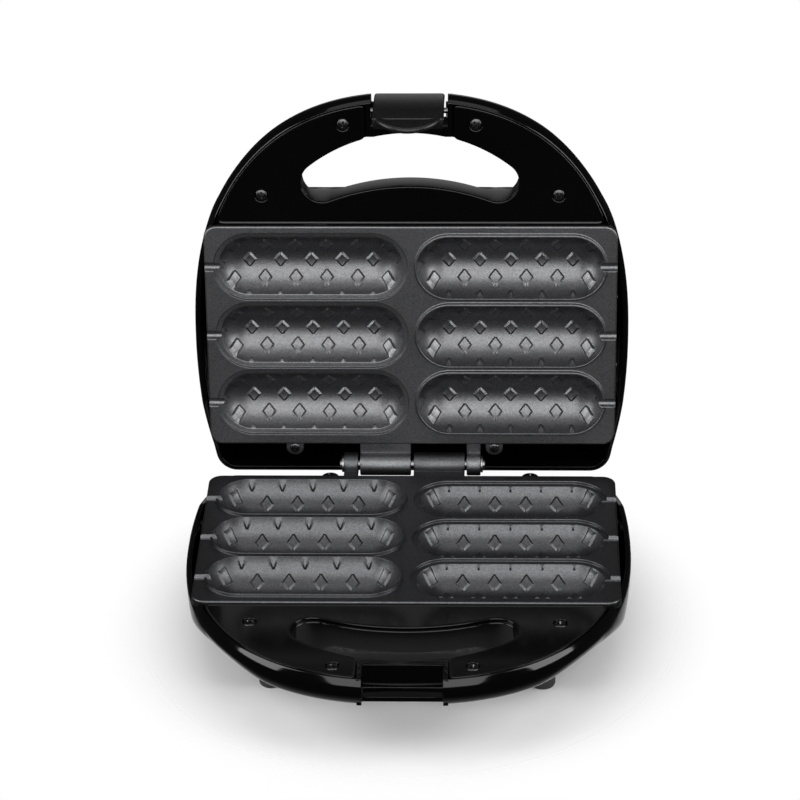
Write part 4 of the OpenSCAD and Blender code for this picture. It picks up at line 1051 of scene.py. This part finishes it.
# Inset, height and share of the raised edge, from the underside to the top
cover_rows = [(0.3, COVER_Z, 0), (0.0, COVER_Z + 0.3, 0), (0.0, COVER_TOP - 0.45, 0),
              (0.06, COVER_TOP - 0.22, 1), (0.2, COVER_TOP - 0.06, 1), (0.4, COVER_TOP, 1), (0.8, COVER_TOP, 1),
              (1.0, COVER_TOP - 0.05, 0.9), (1.2, COVER_TOP, 0.15), (1.4, COVER_TOP, 0.0), (1.6, COVER_TOP, 0.0)]
cover_loops = []
for inset, z, share in cover_rows:
    cover_loops.append(cover_pattern.place(np.column_stack([set_in(loop, inset), z + lip * share])))
cover_pattern.skin(cover_loops, inward=True)
screw_hole = [(SCREW_HOLE_R + 0.5, 0), (SCREW_HOLE_R + 0.35, 0), (SCREW_HOLE_R + 0.1, 0.1),
              (SCREW_HOLE_R, 0.35), (SCREW_HOLE_R, SCREW_SINK)]
sunk = []
for x, y in COVER_SCREWS:
    rings = []
    for radius, drop in screw_hole:
        circle = arc((x, y), radius, 0, 2 * math.pi, 41)[:-1]
        rings.append(cover_pattern.place(ring_of(circle, COVER_TOP - drop)))
    cover_pattern.skin(rings, inward=True)
    cover_pattern.faces.append(rings[-1])
    sunk.append(rings[0])
cover_pattern.fill([cover_loops[-1], *sunk])
cover_pattern.fill([cover_loops[0]], up=False)
cover = raw("cover", cover_pattern)
stand_piece("base_cover", cover, "base", gloss, "base_handle_cover")
stand_piece("lid_cover", cover, "lid", gloss, "lid_handle_cover")
bpy.data.objects.remove(cover)

# Cover and plate screws
# Blackened steel screws with pan heads, turned and then cut with cross recesses.
# They hold the covers to the housings and the plates by the ears at their back.
COVER_HEAD_R = 3.15
PLATE_HEAD_R = 2.65
HEAD_H = 1.5
CROSS_W = 0.42
CROSS_CORNERS = ((-1, -1), (1, -1), (1, 1), (-1, 1))
# Shares of the cross's length and width, and the height, at its bottom and above the head
CROSS_ENDS = ((0.5, 0.6, 0.35), (1.15, 1.1, 1.9))


def screw_heads(name, places, radius):
    """A set of like screw heads, each with a cross cut into it."""
    heads = Pattern()
    cutters = []
    for k, (x, y, z) in enumerate(places):
        spot = Matrix.Translation((x, y, z)) @ Matrix.Rotation(0.5 + 0.9 * k, 4, "Z")
        heads.turned([(0, -3), (1.2, -3), (1.2, 0), (radius - 0.1, 0), (radius, 0.15), (radius, 0.75),
                      (radius * 0.95, 1.0), (radius * 0.82, 1.22), (radius * 0.6, 1.4), (0, HEAD_H)], 36, spot)
        for quarter in (0, math.pi / 2):
            cross = Pattern()
            long = radius * 0.62
            turned = spot @ Matrix.Rotation(quarter, 4, "Z")
            low, high = [
                cross.place([turned @ Vector((sx * long * a, sy * CROSS_W * b, z))
                             for sx, sy in CROSS_CORNERS])
                for a, b, z in CROSS_ENDS]
            cross.prism(high, low)
            cutters.append(raw("cross", cross))
    piece = raw(name, heads)
    work(piece, cutters, "DIFFERENCE")
    return piece


SCREW_TONES = ((0.035, 0.035, 0.038, 1), (0.11, 0.11, 0.115, 1))
blackened = finish("blackened_steel", SCREW_TONES, (0.20, 0.32), 900)
heads = screw_heads("cover_heads", [(x, y, COVER_TOP - HEAD_H) for x, y in COVER_SCREWS], COVER_HEAD_R)
stand_piece("base_cover_heads", heads, "base", blackened, "base_cover_screws")
stand_piece("lid_cover_heads", heads, "lid", blackened, "lid_cover_screws")
bpy.data.objects.remove(heads)
heads = screw_heads("plate_heads", [(x, EAR_Y, EAR_Z[1]) for x in EARS], PLATE_HEAD_R)
stand_piece("lower_plate_heads", heads, "base", blackened, "lower_plate_screws")
stand_piece("upper_plate_heads", heads, "lid", blackened, "upper_plate_screws")
bpy.data.objects.remove(heads)

# Latch
# A satin-black moulded clip that swings on a steel pin in the lid's notch: a bowed plate with a curved
# finger tab, a hook across its back that catches under the base's lip, a barrel for the pin and a heel.
LATCH_HALF = 18.3
LATCH_FRONT = -132.4
LATCH_THICK = 3.0
LATCH_BOW = 90.0
LATCH_BACK = -16.0
LATCH_ROOT = -129.9
LATCH_CORNER = 2.0
LATCH_EDGE = 1.2
HOOK_Z = (18.5, 21.9)
HOOK_REACH = -124.0
TAB = 9.0
TAB_HALF = 16.9
LATCH_BARREL_R = 3.6
LATCH_PIN = (-124.0, -8.0)
LATCH_PIN_R = 1.5
LATCH_PIN_HALF = 22.2
HEEL_HALF = 8.0
HEEL_Z = (-3.0, -0.5)
SATIN = ((0.0040, 0.0040, 0.0042, 1), (0.0080, 0.0080, 0.0083, 1))
STEEL = ((0.16, 0.16, 0.165, 1), (0.28, 0.28, 0.285, 1))

tab_r = (TAB_HALF**2 + TAB**2) / (2 * TAB)
tab_a = math.asin(TAB_HALF / tab_r)
corner = (LATCH_HALF - LATCH_CORNER, LATCH_BACK + LATCH_CORNER)
side_z = np.linspace(corner[1], HOOK_Z[1] - 1, 18)[1:]
right_side = np.column_stack([np.full(len(side_z), LATCH_HALF), side_z])
face = np.concatenate([
    arc(corner, LATCH_CORNER, -math.pi / 2, 0, 8),
    right_side,
    arc((0, HOOK_Z[1] + TAB - tab_r), tab_r, math.pi / 2 - tab_a, math.pi / 2 + tab_a, 40),
    right_side[::-1] * (-1, 1),
    arc((-corner[0], corner[1]), LATCH_CORNER, math.pi, 1.5 * math.pi, 8)])
round_over = [(LATCH_EDGE * (1 - math.sin(a)), LATCH_EDGE * (1 - math.cos(a)))
              for a in np.linspace(0, math.pi / 2, 6)]
clip = Pattern()
clip.close([clip.place(ring_of(set_in(face, inset), lift))
            for inset, lift in mirrored(round_over, LATCH_THICK)])
clip.points = [(x, LATCH_FRONT + lift + LATCH_BOW - math.sqrt(LATCH_BOW**2 - (z - HINGE_Z) ** 2), z)
               for x, z, lift in clip.points]
clip.faces = [corners[::-1] for corners in clip.faces]
latch = raw("latch_raw", clip)
wide = LATCH_HALF - 0.4
barrel = mirrored([(0, 0), (LATCH_BARREL_R - 0.5, 0), (LATCH_BARREL_R, 0.5)], 2 * wide)
work(latch, [
    block((-wide, LATCH_ROOT, HOOK_Z[0]), (wide, HOOK_REACH, HOOK_Z[1]), 0.6),
    spun(barrel, 40, along_x(-wide, *LATCH_PIN)),
    block((-wide + 0.2, LATCH_ROOT, LATCH_PIN[1] - 1.6), (wide - 0.2, LATCH_PIN[0], LATCH_PIN[1] + 1.6), 0.3),
    block((-HEEL_HALF, LATCH_ROOT, HEEL_Z[0]), (HEEL_HALF, NOTCH_Y - 0.4, HEEL_Z[1]), 0.3)], "UNION")
work(latch, [drill(LATCH_PIN_R + 0.15, -2, 42, 32, along_x(-LATCH_HALF, *LATCH_PIN))], "DIFFERENCE")
satin = finish("satin_black", SATIN, (0.24, 0.36), 400, 0.0, IOR=PLASTIC_IOR)
stand_piece("latch_clip", latch, "lid", satin, "latch", body="latch")
bpy.data.objects.remove(latch)

steel = finish("oiled_steel", STEEL, (0.26, 0.38), 700)
rod = mirrored([(0, 0), (LATCH_PIN_R - 0.3, 0), (LATCH_PIN_R, 0.3)], 2 * LATCH_PIN_HALF)
latch_rod = spun(rod, 32, along_x(-LATCH_PIN_HALF, *LATCH_PIN))
stand_piece("latch_rod", latch_rod, "lid", steel, "latch_pin")
bpy.data.objects.remove(latch_rod)

# Hinge pin
# A turned steel pin through the knuckles of both plates, grooved near each end and held there by two
# spring clips with an open side.
HINGE_PIN_HALF = 39.24
CLIP_X = 36.84
CLIP_THICK = 1.2
CLIP_R = 4.5
CLIP_GAP = 1.4
GROOVE_R = 1.75

groove = HINGE_PIN_HALF - CLIP_X - CLIP_THICK
rod = [(0, 0), (PIN_R - 0.4, 0), (PIN_R, 0.4), (PIN_R, groove), (GROOVE_R, groove),
       (GROOVE_R, groove + CLIP_THICK), (PIN_R, groove + CLIP_THICK)]
hinge_rod = spun(mirrored(rod, 2 * HINGE_PIN_HALF), 40, along_x(-HINGE_PIN_HALF, HINGE_Y, HINGE_Z))
stand_piece("hinge_rod", hinge_rod, "base", steel, "hinge_pin")
bpy.data.objects.remove(hinge_rod)

bore = GROOVE_R + 0.04
mouth_out, mouth_in = math.asin(CLIP_GAP / CLIP_R), math.asin(CLIP_GAP / bore)
ring_clip = np.concatenate([
    arc((0, 0), CLIP_R, mouth_out, 2 * math.pi - mouth_out, 44),
    arc((0, 0), bore, 2 * math.pi - mouth_in, mouth_in, 24)])
clips = Pattern()
for x in (-CLIP_X - CLIP_THICK, CLIP_X):
    clip_loops = []
    for inset, lift in ((0.15, 0), (0, 0.15), (0, CLIP_THICK - 0.15), (0.15, CLIP_THICK)):
        clip_loops.append(clips.place(ring_of(set_in(ring_clip, inset), lift)))
    clips.close(clip_loops)
    for loop_points in clip_loops:
        for k in loop_points:
            clips.points[k] = tuple(along_x(x, HINGE_Y, HINGE_Z) @ Vector(clips.points[k]))
spring_clips = raw("spring_clips_raw", clips)
stand_piece("spring_clips", spring_clips, "base", steel, "hinge_pin_clips")
bpy.data.objects.remove(spring_clips)

# Feet
# Four soft black rubber feet under the base, turned with rounded edges.
# Each has a sunk middle for the blackened screw that holds it.
FOOT_Z = (-51.0, -45.0)
FOOT_SEAT = -48.5
FOOT_HEAD_R = 3.2
RUBBER = ((0.010, 0.010, 0.011, 1), (0.020, 0.020, 0.021, 1))

# Radius and height round the foot, from its sunk middle to its top
foot = [(0, FOOT_SEAT), (3.2, FOOT_SEAT), (3.5, FOOT_SEAT - 0.3), (3.5, FOOT_Z[0] + 0.3), (3.8, FOOT_Z[0]),
        (5.5, FOOT_Z[0]), (6.1, FOOT_Z[0] + 0.25), (6.4, FOOT_Z[0] + 0.8), (FOOT_R, FOOT_Z[0] + 1.6),
        (FOOT_R, FOOT_Z[1] - 0.5), (6.35, FOOT_Z[1] - 0.1), (6.0, FOOT_Z[1]), (0, FOOT_Z[1])]
pads = Pattern()
for x, y in FEET:
    pads.turned(foot, 44, Matrix.Translation((x, y, 0)))
feet = raw("feet_raw", pads)
rubber = finish("soft_rubber", RUBBER, (0.60, 0.72), 600, 0.0)
stand_piece("rubber_feet", feet, "base", rubber, "feet")
bpy.data.objects.remove(feet)
heads = screw_heads("foot_heads", [(x, -y, -FOOT_SEAT) for x, y in FEET], FOOT_HEAD_R)
heads.data.transform(Matrix.Rotation(math.pi, 4, "X"))
stand_piece("foot_heads", heads, "base", blackened, "foot_screws")
bpy.data.objects.remove(heads)

# Cord gland
# A soft black rubber grommet, turned with a round flange and a flared hole.
# It is pressed into the seat at the back of the base.
GLAND_Y = 74.2
GLAND_BORE = 3.6

# Radius and distance from the inner end, of the grommet and of its hole
sleeve = [(0, 0), (6.0, 0), (6.4, 0.4), (6.4, 11), (8.7, 11), (9, 11.3), (9, 12.4), (8.7, 13), (8.1, 13.4),
          (7.4, 13.5), (0, 13.5)]
flare = [(0, -1), (GLAND_BORE, -1), (GLAND_BORE, 11), (GLAND_BORE + 0.2, 12), (GLAND_BORE + 0.7, 13),
         (GLAND_BORE + 1.4, 13.6), (GLAND_BORE + 1.4, 15), (0, 15)]
x, z, _, _ = INLET
gland_stand = along_y(x, GLAND_Y, z)
gland = spun(sleeve, 48, gland_stand)
work(gland, [spun(flare, 48, gland_stand)], "DIFFERENCE")
stand_piece("grommet", gland, "base", rubber, "cord_gland")
bpy.data.objects.remove(gland)

# Lamp lenses
# A red and a green dome of clear plastic, turned, in two holes in the top of the lid.
# A flange inside the housing holds each one.
LENS_DROP = 1.4
LENS_FLANGE_R = 5.6
LENS_FLANGE = (-42, -40.8)
LENS_RED = ((0.30, 0.003, 0.003, 1), (0.46, 0.010, 0.008, 1))
LENS_GREEN = ((0.004, 0.16, 0.012, 1), (0.012, 0.28, 0.030, 1))

dome = [(LAMP_R * math.sin(a), -BODY_DEPTH - LENS_DROP * math.cos(a))
        for a in np.linspace(0, math.pi / 2, 9)]
dome[0] = (0, -BODY_DEPTH - LENS_DROP)
dome += [(LAMP_R, LENS_FLANGE[0]), (LENS_FLANGE_R, LENS_FLANGE[0]), (LENS_FLANGE_R, LENS_FLANGE[1]),
         (0, LENS_FLANGE[1])]
for name, node, slot, x, tones in (("red_dome", "power_lamp_lens", "red_lens", LAMP_X, LENS_RED),
                                   ("green_dome", "ready_lamp_lens", "green_lens", -LAMP_X, LENS_GREEN)):
    lens = spun(dome, 40, Matrix.Translation((x, LAMP_Y, 0)))
    clear = finish(name, tones, (0.06, 0.18), 500, 0.0, Transmission_Weight=0.4)
    stand_piece(name, lens, "lid", clear, node)
    bpy.data.objects.remove(lens)

# Inner parts
# Heaters, shields, insulators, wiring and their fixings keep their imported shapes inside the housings:
# sheathed heater steel, plate steel, zinc-coated screws, pale ceramic, black plastic and woven sleeve.
# Name: dark and pale tone, range of roughness, scale, metallic share and the pieces that have it
INNER = {
    "heater_sheath": ((0.13, 0.12, 0.11, 1), (0.26, 0.25, 0.24, 1), (0.34, 0.46), 260, 1.0, (
        "lower_heater", "upper_heater")),
    "plate_steel": ((0.38, 0.38, 0.39, 1), (0.55, 0.55, 0.56, 1), (0.28, 0.40), 320, 1.0, (
        "lower_heater_clamp", "upper_heater_clamp", "lower_heat_shield", "upper_heat_shield",
        "thermal_fuse", "thermostat")),
    "zinc_coat": ((0.46, 0.47, 0.48, 1), (0.66, 0.67, 0.68, 1), (0.24, 0.36), 800, 1.0, (
        "lower_clamp_screw", "upper_clamp_screw", "cord_clamp_screws", "terminal_screws", "thermostat_screws")),
    "pale_ceramic": ((0.60, 0.56, 0.49, 1), (0.74, 0.71, 0.64, 1), (0.50, 0.62), 300, 0.0, (
        "lower_insulators", "upper_insulators", "terminal_block")),
    "inner_plastic": ((0.016, 0.016, 0.017, 1), (0.030, 0.030, 0.031, 1), (0.44, 0.56), 350, 0.0, (
        "cord_clamp", "lamp_holder")),
    "woven_sleeve": ((0.50, 0.48, 0.43, 1), (0.68, 0.66, 0.61, 1), (0.66, 0.78), 1200, 0.0, (
        "base_wiring", "lid_wiring")),
}
for name, (dark, pale, rough, scale, metallic, nodes) in INNER.items():
    inner_finish = finish(name, (dark, pale), rough, scale, metallic)
    for node in nodes:
        materials = frame["nodes"][node].data.materials
        materials.clear()
        materials.append(inner_finish)

size = {"packed": [list(corner) for corner in packed_bounds], "made": [list(corner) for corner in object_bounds()]}
